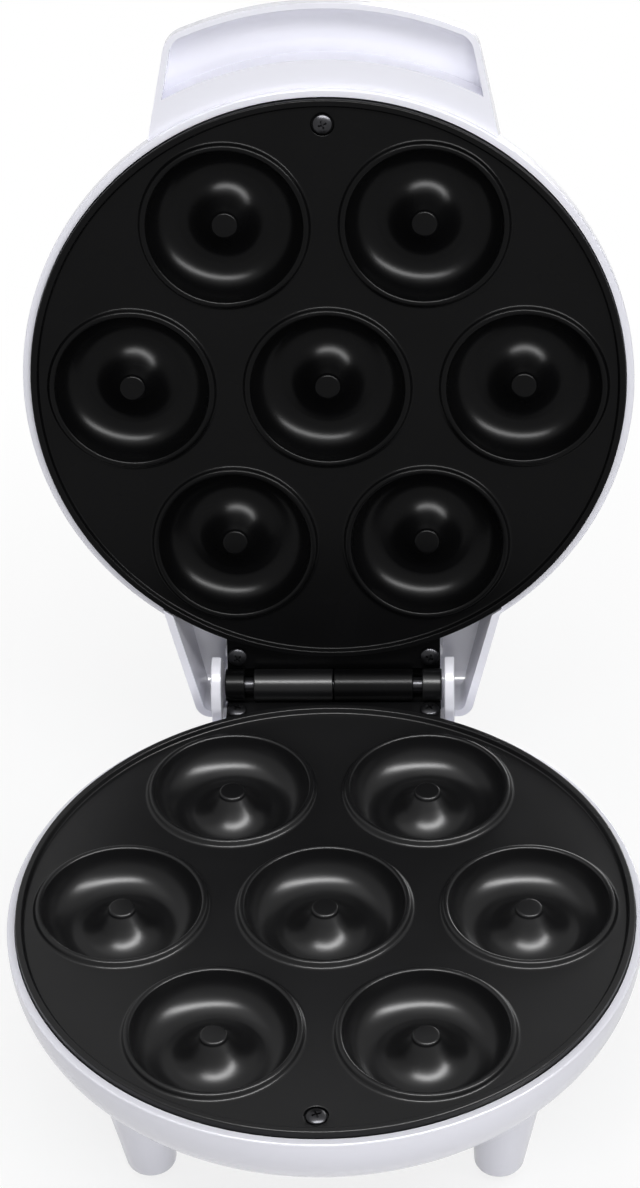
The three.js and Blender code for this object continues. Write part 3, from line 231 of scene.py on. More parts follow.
ear_outline = [(HINGE_Y - EAR_HEAD, EAR_LOW), *hinge_arc(EAR_HEAD, 180, 90),
               *hinge_arc(EAR_REAR, 20, -90), (stop_y(EAR_NECK), EAR_NECK),
               (stop_y(EAR_LOW), EAR_LOW)]
pylon_outline = [(PYLON_FRONT, EAR_LOW), (PYLON_FRONT, PYLON_TOP), (stop_y(PYLON_TOP), PYLON_TOP),
                 (stop_y(EAR_LOW), EAR_LOW)]
pylons = []
for ear_span, pylon_span in (((-EAR_OUTSIDE, -EAR_INSIDE), (-EAR_OUTSIDE, -PYLON_INSIDE)),
                             ((EAR_INSIDE, EAR_OUTSIDE), (PYLON_INSIDE, EAR_OUTSIDE))):
    pylons.append(softened(side_view("ear", ear_outline, *ear_span), EAR_ROUND))
    pylons.append(side_view("pylon", pylon_outline, *pylon_span))

# The gland is a short round spout through the rear wall of the bowl, where the power cord
# would pass. It is part of the moulding too.
GLAND_LEVEL = -19.0
GLAND_RADIUS = 6.5
GLAND_HOLE = 4.0
GLAND_FRONT = 70.0
GLAND_REAR = 100.5
GLAND_ROUND = 0.8


def gland_bar(radius, y0, y1):
    bpy.ops.object.select_all(action="DESELECT")
    bpy.ops.mesh.primitive_cylinder_add(vertices=48, radius=radius, depth=y1 - y0,
                                        location=(0, (y0 + y1) / 2, GLAND_LEVEL),
                                        rotation=(math.pi / 2, 0, 0))
    bpy.ops.object.transform_apply(location=True, rotation=True, scale=True)
    return bpy.context.object


gland = softened(gland_bar(GLAND_RADIUS, GLAND_FRONT, GLAND_REAR), GLAND_ROUND)
gland_hole = gland_bar(GLAND_HOLE, GLAND_FRONT, 110.0)

# The hollow of the bowl has a ledge for the plate's skirt, room for its rear flange, a boss
# for the front screw, bores for screws and feet, and six vent slots through the floor.
LEDGE_RADIUS = 95.6
HOLLOW_RADIUS = 93.4
LEDGE_LEVEL = -8.3
BOWL_FLOOR = -30.6
FLOOR_ROUND = 23.0
ROOM_WIDTH = 72.0
ROOM_HEIGHT = 7.4
ROOM_LEVEL = -4.2
BOSS_RADIUS = 4.4
BOSS_TOP = -7.3
BORE_RADIUS = 1.8
BORE_LOW = -21.6
SEAT_RADIUS = 5.3
SEAT_DEPTH = 0.8
STEM_BORE_RADIUS = 3.7
STEM_BORE_TOP = -39.0
FRONT_SCREW = (0.0, -87.0)
screw_places = (FRONT_SCREW, (-32.0, 96.6), (32.0, 96.6))
VENT_COUNT = 6
VENT_RING = 34.0
VENT_SIZE = (18.0, 2.4, 4.8)


def worked(piece, how, *tools):
    """Joins bodies to a piece, cuts them out of it, or keeps what they share."""
    for tool in tools:
        alone(piece)
        shaping = piece.modifiers.new(how, "BOOLEAN")
        shaping.operation = how
        shaping.solver = "MANIFOLD"
        shaping.object = tool
        bpy.ops.object.modifier_apply(modifier=shaping.name)
        bpy.data.objects.remove(tool)
    return piece


def drum(name, radius, z0, z1, middle=(0, 0), sides=48):
    """A plain upright cylinder, used for bosses, bores and round cuts."""
    bpy.ops.object.select_all(action="DESELECT")
    bpy.ops.mesh.primitive_cylinder_add(vertices=sides, radius=radius, depth=z1 - z0,
                                        location=(middle[0], middle[1], (z0 + z1) / 2))
    post = bpy.context.object
    post.name = name
    bpy.ops.object.transform_apply(location=True, rotation=True, scale=True)
    return post


bowl_hollow = spun(traced("hollow", [(0, 0), (LEDGE_RADIUS, 0), (LEDGE_RADIUS, LEDGE_LEVEL),
                                     (HOLLOW_RADIUS, LEDGE_LEVEL),
                                     (HOLLOW_RADIUS, BOWL_FLOOR, FLOOR_ROUND),
                                     (0, BOWL_FLOOR)]), HOUSING_STEPS)
worked(bowl_hollow, "DIFFERENCE", drum("boss", BOSS_RADIUS, -34.0, BOSS_TOP, FRONT_SCREW))
bpy.ops.object.select_all(action="DESELECT")
bpy.ops.mesh.primitive_cube_add(size=1, location=(0, HINGE_Y / 2, ROOM_LEVEL),
                                scale=(ROOM_WIDTH, HINGE_Y, ROOM_HEIGHT))
flange_room = bpy.context.object
bpy.ops.object.transform_apply(location=True, rotation=True, scale=True)
bores = [drum("screw_bore", BORE_RADIUS, BORE_LOW, -2.0, place, 24) for place in screw_places]
for x, y in leg_places:
    bores.append(drum("foot_seat", SEAT_RADIUS, LEG_LOW - 2, LEG_LOW + SEAT_DEPTH, (x, y)))
    bores.append(drum("foot_bore", STEM_BORE_RADIUS, LEG_LOW, STEM_BORE_TOP, (x, y)))
for count in range(VENT_COUNT):
    turn = math.radians(360 / VENT_COUNT * (count + 0.5))
    bpy.ops.object.select_all(action="DESELECT")
    bpy.ops.mesh.primitive_cube_add(size=1, scale=VENT_SIZE, rotation=(0, 0, turn),
                                    location=(VENT_RING * math.cos(turn),
                                              VENT_RING * math.sin(turn), BOWL_LOW))
    bores.append(bpy.context.object)
    bpy.ops.object.transform_apply(location=True, rotation=True, scale=True)

worked(bowl, "UNION", *legs, *pylons, gland)
worked(bowl, "DIFFERENCE", bowl_hollow, flange_room, gland_hole, *bores)

# The plastic is white with a trace of blue, glossy, and faintly uneven in colour and gloss,
# as a moulding is. The finished bowl then goes to its place in the frame.
PLATE_MIDDLE = (0.0, -0.040968, 0.0616)
MILLIMETRE = 0.001


def surface_group():
    """Slow clouds and fine grain for any moulded, cast or coated surface."""
    group = bpy.data.node_groups.new("clouds_and_grain", "ShaderNodeTree")
    sockets = group.interface
    for socket, kind, value in (
        ("Colour", "NodeSocketColor", (0.8, 0.8, 0.8, 1)),
        ("Clouded Colour", "NodeSocketColor", (0.7, 0.7, 0.7, 1)),
        ("Cloud Size", "NodeSocketFloat", 30.0), ("Roughness", "NodeSocketFloat", 0.3),
        ("Roughness Spread", "NodeSocketFloat", 0.05), ("Grain Size", "NodeSocketFloat", 900.0),
        ("Grain Share", "NodeSocketFloat", 0.4), ("Scuffs", "NodeSocketFloat", 0.0),
    ):
        made = sockets.new_socket(name=socket, in_out="INPUT", socket_type=kind)
        made.default_value = value
    sockets.new_socket(name="Colour", in_out="OUTPUT", socket_type="NodeSocketColor")
    sockets.new_socket(name="Roughness", in_out="OUTPUT", socket_type="NodeSocketFloat")
    sockets.new_socket(name="Height", in_out="OUTPUT", socket_type="NodeSocketFloat")
    nodes, links = group.nodes, group.links
    given = nodes.new("NodeGroupInput")
    result = nodes.new("NodeGroupOutput")
    place = nodes.new("ShaderNodeTexCoord")

    def noise(size, detail, stretch=None):
        made = nodes.new("ShaderNodeTexNoise")
        made.inputs["Detail"].default_value = detail
        source = place.outputs["Object"]
        if stretch:
            mapping = nodes.new("ShaderNodeMapping")
            mapping.inputs["Scale"].default_value = stretch
            links.new(source, mapping.inputs["Vector"])
            source = mapping.outputs["Vector"]
        links.new(source, made.inputs["Vector"])
        if isinstance(size, float):
            made.inputs["Scale"].default_value = size
        else:
            links.new(size, made.inputs["Scale"])
        return made.outputs["Fac"]

    def arithmetic(kind, first, second):
        made = nodes.new("ShaderNodeMath")
        made.operation = kind
        for value, socket in ((first, made.inputs[0]), (second, made.inputs[1])):
            if isinstance(value, (int, float)):
                socket.default_value = value
            else:
                links.new(value, socket)
        return made.outputs["Value"]

    clouds = noise(given.outputs["Cloud Size"], 3.0)
    grain = noise(given.outputs["Grain Size"], 2.0)
    streaks = noise(60.0, 4.0, stretch=(0.25, 3.0, 1.0))
    ramp = nodes.new("ShaderNodeMapRange")
    ramp.inputs["From Min"].default_value = 0.56
    ramp.inputs["From Max"].default_value = 0.70
    links.new(streaks, ramp.inputs["Value"])
    scuffs = arithmetic("MULTIPLY", ramp.outputs["Result"], given.outputs["Scuffs"])
    blend = nodes.new("ShaderNodeMix")
    blend.data_type = "RGBA"
    share = arithmetic("ADD", clouds, scuffs)
    links.new(share, blend.inputs["Factor"])
    links.new(given.outputs["Colour"], blend.inputs["A"])
    links.new(given.outputs["Clouded Colour"], blend.inputs["B"])
    links.new(blend.outputs["Result"], result.inputs["Colour"])
    centred = arithmetic("SUBTRACT", clouds, 0.5)
    uneven = arithmetic("ADD", centred, scuffs)
    spread = arithmetic("MULTIPLY", uneven, given.outputs["Roughness Spread"])
    links.new(arithmetic("ADD", given.outputs["Roughness"], spread), result.inputs["Roughness"])
    fine = arithmetic("MULTIPLY", grain, given.outputs["Grain Share"])
    links.new(arithmetic("ADD", clouds, fine), result.inputs["Height"])
    return group


clouds_and_grain = surface_group()


def finish(name, colour, clouded, cloud_size=30.0, roughness=0.3, spread=0.06, grain_size=900.0,
           grain_share=0.4, scuffs=0.0, bump=0.05, depth=0.0002, metallic=0.0, **sockets):
    """A material whose colour, gloss and relief come from the clouds and grain."""
    material = bpy.data.materials.new(name)
    material.use_nodes = True
    nodes, links = material.node_tree.nodes, material.node_tree.links
    shader = nodes["Principled BSDF"]
    surface = nodes.new("ShaderNodeGroup")
    surface.node_tree = clouds_and_grain
    surface.inputs["Colour"].default_value = (*colour, 1)
    surface.inputs["Clouded Colour"].default_value = (*clouded, 1)
    surface.inputs["Cloud Size"].default_value = cloud_size
    surface.inputs["Roughness"].default_value = roughness
    surface.inputs["Roughness Spread"].default_value = spread
    surface.inputs["Grain Size"].default_value = grain_size
    surface.inputs["Grain Share"].default_value = grain_share
    surface.inputs["Scuffs"].default_value = scuffs
    relief = nodes.new("ShaderNodeBump")
    relief.inputs["Strength"].default_value = bump
    relief.inputs["Distance"].default_value = depth
    links.new(surface.outputs["Colour"], shader.inputs["Base Color"])
    links.new(surface.outputs["Roughness"], shader.inputs["Roughness"])
    links.new(surface.outputs["Height"], relief.inputs["Height"])
    links.new(relief.outputs["Normal"], shader.inputs["Normal"])
    shader.inputs["Metallic"].default_value = metallic
    for socket, value in sockets.items():
        shader.inputs[socket.replace("_", " ")].default_value = value
    return material


def settled(piece, name, material, body, smooth=32):
    """Shades a finished piece, gives it its material, and moves it from the millimetres it was
    modelled in to its place in the frame. A piece of the lid is swung open with it."""
    alone(piece)
    piece.name = name
    piece.data.name = name
    piece.data.materials.clear()
    piece.data.materials.append(material)
    bpy.ops.object.shade_smooth_by_angle(angle=math.radians(smooth))
    even = piece.modifiers.new("even", "WEIGHTED_NORMAL")
    even.keep_sharp = True
    bpy.ops.object.modifier_apply(modifier=even.name)
    hinge = Matrix.Translation((0, HINGE_Y, HINGE_Z))
    swing = hinge @ Matrix.Rotation(-LID_OPEN, 4, "X") @ hinge.inverted()
    place = Matrix.Translation(PLATE_MIDDLE) @ Matrix.Scale(MILLIMETRE, 4)
    piece.matrix_world = place @ swing if body == "lid" else place
    bpy.ops.object.transform_apply(location=True, rotation=True, scale=True)
    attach(piece, body)
    return piece


white_plastic = finish("white_plastic", (0.84, 0.84, 0.91), (0.81, 0.81, 0.88), cloud_size=25.0,
                       roughness=0.24, spread=0.05, grain_size=700.0, grain_share=0.25,
                       bump=0.06, depth=0.00015, Coat_Weight=0.15, Coat_Roughness=0.1)
bowl = settled(bowl, "white_bowl", white_plastic, "base")
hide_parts("base_shell")

# Rubber feet: a round pad with a slightly rounded lower edge and a stem pushed up into the
# bore of each leg. They are black rubber with a dull, grainy face.
FOOT_LOW = -61.6
FOOT_SEAT = -60.0
FOOT_TOP = -53.0
PAD_RADIUS = 5.0
STEM_RADIUS = 3.4
foot_rubber = finish("foot_rubber", (0.045, 0.045, 0.05), (0.065, 0.065, 0.07), cloud_size=120.0,
                     roughness=0.75, spread=0.12, grain_size=2200.0, grain_share=0.8, bump=0.25,
                     depth=0.0001)
foot_names = ("front_left", "front_right", "rear_left", "rear_right")
for name, (x, y) in zip(foot_names, leg_places):
    foot = spun(traced("foot", [(0, FOOT_LOW), (PAD_RADIUS, FOOT_LOW, 0.8),
                                (PAD_RADIUS, FOOT_SEAT, 0.2), (STEM_RADIUS, FOOT_SEAT, 0.2),
                                (STEM_RADIUS, FOOT_TOP, 0.5), (0, FOOT_TOP)]), 48, (x, y, 0))
    foot = settled(foot, "rubber_foot_" + name, foot_rubber, "base")
    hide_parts("foot_" + name)

# The cooking plate: an aluminium casting with a non-stick coat. Its web is cast with seven ring
# cavities, each with a beaded lip and a post, and it is made once and used twice.
PLATE_RADIUS = 95.3
PLATE_STEPS = 160
WEB_RADIUS = 92.0
WEB_TOP = -1.8
WEB_LOW = -4.4
RIM_FOOT = 92.75
RIM_INSIDE = 93.3
SKIRT_WALL = 92.9
SKIRT_LOW = -8.0
CAVITY_STEPS = 64
CAVITY_SPACING = 62.8
CAVITY_LINE = 15.5
CAVITY_HALF = 9.3
CAVITY_DEPTH = 11.0
CUP_EDGE = 28.1
CUP_LOW = -13.4
CUP_LOW_RADIUS = 21.0
POST_TOP = -2.0
DIMPLE_RADIUS = 4.1
DIMPLE_STEPS = 32
DIMPLE_WALL = 3.7
DIMPLE_FLOOR = -3.2
DIMPLE_OUTSIDE = 5.2
DIMPLE_LOW = -7.0
LID_LEVEL = 0.3
cavity_middles = [(0.0, 0.0)] + [(CAVITY_SPACING * math.cos(math.radians(60 * i)),
                                  CAVITY_SPACING * math.sin(math.radians(60 * i)))
                                 for i in range(6)]

# Both plates have the same coat, but here it comes in two copies: the upper plate's copy is
# painted blacker and duller than the lower one's, as painted shade.
lit_and_shaded_coats = {
    side: finish(side + "_non_stick_coat", (black, black, 1.08 * black),
                 (1.6 * black, 1.6 * black, 1.75 * black), cloud_size=45.0, roughness=gloss,
                 spread=0.05, grain_size=2600.0, grain_share=0.5, scuffs=0.15, bump=0.06,
                 depth=0.00006, Specular_IOR_Level=shine)
    for side, gloss, shine, black in (("lower", 0.29, 0.20, 0.0045), ("upper", 0.27, 0.07, 0.002))
}


def eased(points, steps=4):
    """More points on a smooth line through the points given."""
    line = []
    for i in range(len(points) - 1):
        a, b = points[max(i - 1, 0)], points[i]
        c, d = points[i + 1], points[min(i + 2, len(points) - 1)]
        for step in range(steps):
            t = step / steps
            line.append(tuple(0.5 * (2 * q + (r - p) * t + (2 * p - 5 * q + 4 * r - s) * t * t
                                     + (3 * q - p - 3 * r + s) * t ** 3)
                              for p, q, r, s in zip(a, b, c, d)))
    return line + [points[-1]]


post_flank = eased([(4.36, -3.1), (5.2, -4.2), (6.8, -6.2), (8.6, -8.1), (10.6, -9.6),
                    (12.8, -10.6), (CAVITY_LINE, -CAVITY_DEPTH)], 4)
cavity_wall = [(CAVITY_LINE + CAVITY_HALF * math.cos(math.radians(a)),
                -CAVITY_DEPTH * math.sin(math.radians(a))) for a in range(84, 5, -6)]
lip_bead = [(24.8, -0.75), (24.85, -0.42), (25.05, -0.16), (25.4, -0.03), (25.8, 0.0),
            (26.2, -0.06), (26.5, -0.25), (26.72, -0.6), (26.95, -1.1), (27.2, -1.48),
            (27.55, -1.72), (CUP_EDGE, WEB_TOP)]
cavity_top = [(0, POST_TOP), (3.4, POST_TOP), (3.76, -2.07), (4.03, -2.28), (4.22, -2.62),
              *post_flank, *cavity_wall, *lip_bead]
cavity_under = [(CUP_EDGE, WEB_LOW), (CUP_LOW_RADIUS, CUP_LOW), (0, CUP_LOW)]


def merged(pieces):
    bpy.ops.object.select_all(action="DESELECT")
    for piece in pieces:
        piece.select_set(True)
    bpy.context.view_layer.objects.active = pieces[0]
    bpy.ops.object.join()
    return bpy.context.object


def from_x_axis(outline):
    """Turns an outline so that its spun corners meet those of a circle primitive."""
    alone(outline)
    outline.rotation_euler = (0, 0, math.pi / 2)
    bpy.ops.object.transform_apply(location=True, rotation=True, scale=True)
    return outline


def turned_ring(name, outline, steps, middle=(0, 0, 0)):
    return spun(from_x_axis(traced(name, outline)), steps, middle)


def cast_plate():
    """Fills the web between the rings above and below, and welds cups, dimple and rim to it."""
    rings = [((x, y), CUP_EDGE, CAVITY_STEPS) for x, y in cavity_middles]
    rings += [((0, 0), WEB_RADIUS, PLATE_STEPS), (FRONT_SCREW, DIMPLE_RADIUS, DIMPLE_STEPS)]
    skins = []
    for level in (WEB_TOP, WEB_LOW):
        loops = []
        for (x, y), radius, sides in rings:
            bpy.ops.object.select_all(action="DESELECT")
            bpy.ops.mesh.primitive_circle_add(vertices=sides, radius=radius,
                                              location=(x, y, level))
            loops.append(bpy.context.object)
            bpy.ops.object.transform_apply(location=True, rotation=True, scale=True)
        skins.append(merged(loops))
        bpy.ops.object.mode_set(mode="EDIT")
        bpy.ops.mesh.select_all(action="SELECT")
        bpy.ops.mesh.fill(use_beauty=True)
        bpy.ops.object.mode_set(mode="OBJECT")
    cups = []
    for x, y in cavity_middles:
        for outline in (cavity_top, cavity_under):
            cups.append(turned_ring("cup", outline, CAVITY_STEPS, (x, y, 0)))
    dimple = turned_ring("dimple", [(DIMPLE_RADIUS, WEB_TOP), (3.75, -2.0), (DIMPLE_WALL, -2.3),
                                    (DIMPLE_WALL, DIMPLE_FLOOR, 0.3), (BORE_RADIUS, DIMPLE_FLOOR),
                                    (BORE_RADIUS, DIMPLE_LOW), (DIMPLE_OUTSIDE, DIMPLE_LOW),
                                    (DIMPLE_OUTSIDE, -4.6), (DIMPLE_RADIUS, WEB_LOW)],
                         DIMPLE_STEPS, (*FRONT_SCREW, 0))
    rim = turned_ring("rim", [(WEB_RADIUS, WEB_TOP), (RIM_FOOT, WEB_TOP, 0.5),
                              (RIM_INSIDE, 0, 0.35), (PLATE_RADIUS, 0, 0.5),
                              (PLATE_RADIUS, SKIRT_LOW, 0.3), (SKIRT_WALL, SKIRT_LOW),
                              (SKIRT_WALL, WEB_LOW, 0.3), (WEB_RADIUS, WEB_LOW)], PLATE_STEPS)
    plate = merged([*skins, *cups, dimple, rim])
    bpy.ops.object.mode_set(mode="EDIT")
    bpy.ops.mesh.select_all(action="SELECT")
    bpy.ops.mesh.remove_doubles(threshold=0.01)
    bpy.ops.mesh.normals_make_consistent(inside=False)
    bpy.ops.object.mode_set(mode="OBJECT")
    return plate


# The rear flange of the casting carries two screws and the hinge: half of the barrel on one
# side, and an end lug on the other, so that two castings face to face make a whole hinge.
FLANGE_TOP = -4.0
FLANGE_LOW = -7.6
FLANGE_FRONT = 88.0
FLANGE_HALF = 35.5
SKIRT_INSIDE = 93.6
TROUGH_RADIUS = 5.9
CUT_HALF = 38.0
FLANGE_ROUND = 0.3
KNUCKLE_RADIUS = 5.4
KNUCKLE_ROUND = 0.5
KNUCKLE_FOOT = 3.4
KNUCKLE_INSET = 0.3
PIN_HOLE = 2.8
knuckle_spans = ((-26.5, -0.15), (29.5, 36.0))


def long_bar(name, radius, x0, x1, sides=64):
    """A round bar along the hinge."""
    bpy.ops.object.select_all(action="DESELECT")
    bpy.ops.mesh.primitive_cylinder_add(vertices=sides, radius=radius, depth=x1 - x0,
                                        location=((x0 + x1) / 2, HINGE_Y, HINGE_Z),
                                        rotation=(0, math.pi / 2, 0))
    made = bpy.context.object
    made.name = name
    bpy.ops.object.transform_apply(location=True, rotation=True, scale=True)
    return made


def hinge_side():
    front, rear = HINGE_Y - KNUCKLE_FOOT, HINGE_Y + KNUCKLE_FOOT
    flange = side_view("flange", [(FLANGE_FRONT, FLANGE_LOW), (FLANGE_FRONT, FLANGE_TOP),
                                  (rear, FLANGE_TOP, 0.4), (rear, FLANGE_LOW, 0.6)],
                       -FLANGE_HALF, FLANGE_HALF)
    inside = drum("skirt_inside", SKIRT_INSIDE, -12.0, -1.0, sides=PLATE_STEPS)
    trough = long_bar("trough", TROUGH_RADIUS, -CUT_HALF, CUT_HALF)
    softened(flange, FLANGE_ROUND)
    worked(flange, "DIFFERENCE", inside, trough)
    for x0, x1 in knuckle_spans:
        knuckle = softened(long_bar("knuckle", KNUCKLE_RADIUS, x0, x1), KNUCKLE_ROUND)
        foot = side_view("knuckle_foot", [(front, FLANGE_LOW), (front, HINGE_Z), (rear, HINGE_Z),
                                          (rear, FLANGE_LOW, 0.6)],
                         x0 + KNUCKLE_INSET, x1 - KNUCKLE_INSET)
        worked(knuckle, "UNION", foot)
        worked(flange, "UNION", knuckle)
    worked(flange, "DIFFERENCE", long_bar("pin_hole", PIN_HOLE, -CUT_HALF, CUT_HALF))
    for place in screw_places[1:]:
        worked(flange, "DIFFERENCE", drum("flange_hole", BORE_RADIUS, -9.0, -3.0, place, 32))
    return flange


def turned_over(piece):
    """Turns a lower piece over to its place in the shut lid."""
    alone(piece)
    piece.matrix_world = Matrix.Translation((0, 0, LID_LEVEL)) @ Matrix.Rotation(math.pi, 4, "Y")
    bpy.ops.object.transform_apply(location=True, rotation=True, scale=True)
    return piece


for side, body in (("lower", "base"), ("upper", "lid")):
    plate = merged([cast_plate(), hinge_side()])
    if side == "upper":
        plate = turned_over(plate)
    # Each plate gets its own copy of the one coat, the upper one with painted shade.
    plate = settled(plate, side + "_cooking_plate", lit_and_shaded_coats[side], body, smooth=38)
    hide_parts(side + "_plate")

# The hinge pin is a plain rod of dark steel with rounded ends. It passes through all the
# knuckles, and the ears of the bowl hide its ends.
PIN_RADIUS = 2.5
PIN_HALF = 36.0
PIN_ROUND = 0.6
dark_steel = finish("dark_steel", (0.018, 0.018, 0.020), (0.035, 0.035, 0.038), cloud_size=150.0,
                    roughness=0.30, spread=0.12, grain_size=3500.0, grain_share=0.6, bump=0.12,
                    depth=0.00005, metallic=0.85)
pin = softened(long_bar("pin", PIN_RADIUS, -PIN_HALF, PIN_HALF), PIN_ROUND)
pin = settled(pin, "steel_pin", dark_steel, "base")
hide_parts("hinge_pin")

# Pan head screws of the same dark steel, each with a cross recess. One at the front and two on
# the rear flange hold each plate down on its housing.
HEAD_RADIUS = 3.2
HEAD_HEIGHT = 1.6
SHANK_RADIUS = 1.5
SHANK_LENGTH = 11.5
SCREW_LENGTH = 13.0
CROSS_SIZE = (3.4, 0.75, 1.7)
screw_seats = (-2.9, -3.7, -3.7)
cross_turns = (20, 65, 35)
for side, body in (("lower", "base"), ("upper", "lid")):
    for name, (x, y), seat, degrees in zip(("front", "left", "right"), screw_places,
                                           screw_seats, cross_turns):
        screw = spun(traced("screw", [(0, seat + HEAD_HEIGHT), (2.0, seat + 1.55, 3.0),
                                      (HEAD_RADIUS, seat + 0.7, 0.8), (HEAD_RADIUS, seat),
                                      (SHANK_RADIUS, seat), (SHANK_RADIUS, seat - SHANK_LENGTH),
                                      (0, seat - SCREW_LENGTH)]), 40, (x, y, 0))
        for turn in (math.radians(degrees), math.radians(degrees) + math.pi / 2):
            bpy.ops.object.select_all(action="DESELECT")
            bpy.ops.mesh.primitive_cube_add(size=1, location=(x, y, seat + 1.4),
                                            scale=CROSS_SIZE, rotation=(0, 0, turn))
            cross = bpy.context.object
            bpy.ops.object.transform_apply(location=True, rotation=True, scale=True)
            pick_faces(cross, lambda middle, normal: normal.z < -0.9)
            bpy.ops.transform.resize(value=(0.6, 0.6, 1))
            bpy.ops.object.mode_set(mode="OBJECT")
            worked(screw, "DIFFERENCE", cross)
        if side == "upper":
            screw = turned_over(screw)
        screw = settled(screw, side + "_plate_screw_" + name, dark_steel, body)
        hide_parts(side + "_screw_" + name)

# The lid is the second white moulding: a low dome of the same plastic, modelled shut. Its rim
# and its ledge for the plate are those of the bowl.
LID_RIM = 2.8
LID_LEDGE = 8.6
CROWN_EDGE = 66.0
CROWN_LEVEL = 36.6
CROWN_RISE = 2.5
CROWN_ROUND = 31.2
CEILING_EDGE = 34.2
CEILING_MIDDLE = 36.6
CEILING_ROUND = 26.3
dome = spun(traced("dome", [(0, LID_RIM), (HOUSING_RADIUS, LID_RIM, RIM_ROUND),
                            (HOUSING_RADIUS, CROWN_LEVEL, CROWN_ROUND),
                            (CROWN_EDGE, CROWN_LEVEL), (0, CROWN_LEVEL + CROWN_RISE)]),
            HOUSING_STEPS)
dome_hollow = spun(traced("dome_hollow", [(0, LID_LEVEL), (LEDGE_RADIUS, LID_LEVEL),
                                          (LEDGE_RADIUS, LID_LEDGE), (HOLLOW_RADIUS, LID_LEDGE),
                                          (HOLLOW_RADIUS, CEILING_EDGE, CEILING_ROUND),
                                          (0, CEILING_MIDDLE)]), HOUSING_STEPS)

# The rear hood is part of the lid and runs back from the dome over the hinge. It is open below,
# so that the ears of the bowl can pass, and its walls are thin.
HOOD_FRONT = (55.5, 79.0)
HOOD_REAR = (45.4, 117.2)
HOOD_ROUND = 5.0
HOOD_WALL = 2.2
HOOD_TOP = 34.5
HOOD_REAR_TOP = 24.0
HOOD_SLOPE_END = 110.2
HOOD_TOP_ROUND = 7.0
HOOD_EDGE_ROUND = 1.0
PLATE_ROOM = 95.7


def plan_view(name, points, z0, z1):
    """A body with an outline of x and y, carried up from z0 to z1."""
    outline = traced(name, points, closed=True)
    alone(outline)
    outline.matrix_world = Matrix(((1, 0, 0, 0), (0, 0, 1, 0), (0, 1, 0, z0), (0, 0, 0, 1)))
    bpy.ops.object.transform_apply(location=True, rotation=True, scale=True)
    return pulled(outline, "z", z1 - z0)


def hood_body(inset, low):
    lean = (HOOD_FRONT[0] - HOOD_REAR[0]) / (HOOD_REAR[1] - HOOD_FRONT[1])
    front = HOOD_FRONT[0] - inset + lean * HOOD_FRONT[1]
    rear_x, rear_y = HOOD_REAR[0] - inset, HOOD_REAR[1] - inset
    round_corner = max(HOOD_ROUND - inset, 1.0)
    plan = plan_view("hood", [(-front, 0), (front, 0), (rear_x, rear_y, round_corner),
                              (-rear_x, rear_y, round_corner)], low, 40.0)
    top, rear_top = HOOD_TOP - inset, HOOD_REAR_TOP - inset
    side = side_view("hood_side", [(-1, low - 1), (-1, top), (CROWN_EDGE, top),
                                   (HOOD_SLOPE_END, rear_top),
                                   (rear_y, rear_top, HOOD_TOP_ROUND - inset),
                                   (rear_y, low - 1)], -120, 120)
    worked(plan, "INTERSECT", side)
    return plan


hood = softened(hood_body(0, HINGE_Z), HOOD_EDGE_ROUND, over=60)
worked(hood, "DIFFERENCE", drum("plate_room", PLATE_ROOM, -2.0, 8.4, sides=HOUSING_STEPS))
hood_hollow = hood_body(HOOD_WALL, -2.0)

# The handle is a lip of the lid that reaches out from the front of the dome, scooped below for
# the fingers, so that only a thin edge shows round the scoop.
BAND_Z = 4.8
BAND_RADIUS = 106.8
HANDLE_MIDDLE = -10.8
HANDLE_RADIUS = 113.8
HANDLE_WALL = 2.4
HANDLE_CORNER_X = 47.0
HANDLE_CORNER_ROUND = 8.0
HANDLE_ROOT_X = 55.3
HANDLE_ROOT_Y = -78.0
HANDLE_STEPS = 24
ROOF_START = 73.2
ROOF_TOP = 23.0
ROOF_END = 4.6
LIP_RADIUS = 112.0
LIP_EDGE_ROUND = 0.7
SCOOP_DEPTH = 7.1
KEEP_RADIUS = 104.4


def handle_plan(name, inset, z0, z1):
    corner_x, root_x = HANDLE_CORNER_X - inset, HANDLE_ROOT_X - inset
    corner_round = HANDLE_CORNER_ROUND - inset
    radius = HANDLE_RADIUS - inset
    front = math.asin((corner_x - 6.0) / radius)
    arch = [(radius * math.sin(a), HANDLE_MIDDLE - radius * math.cos(a))
            for a in [front - 2 * front * i / HANDLE_STEPS for i in range(HANDLE_STEPS + 1)]]
    end_y = arch[0][1] + 2.6
    start_y = HANDLE_ROOT_Y + (2.0 if inset else 0)
    points = [(-root_x, start_y), (root_x, start_y), (corner_x + 0.9, end_y, corner_round), *arch,
              (-corner_x - 0.9, end_y, corner_round)]
    return plan_view(name, points, z0, z1)


def handle_roof(lower):
    """What lies below the roof of the handle, which falls from the dome to the lip."""
    top, end = LID_LEVEL + ROOF_TOP - lower, BAND_Z + ROOF_END - lower
    bend = eased([(0, 0), (0.35, 0.08), (0.6, 0.27), (0.8, 0.56), (0.93, 0.84), (1, 1)], 4)
    roof = [(ROOF_START + (HANDLE_RADIUS - ROOF_START) * along, top + (end - top) * down)
            for along, down in bend]
    return spun(traced("roof", [(0, top), *roof, (116.0, end), (116.0, -2.0), (0, -2.0)]),
                HOUSING_STEPS, (0, HANDLE_MIDDLE, 0))


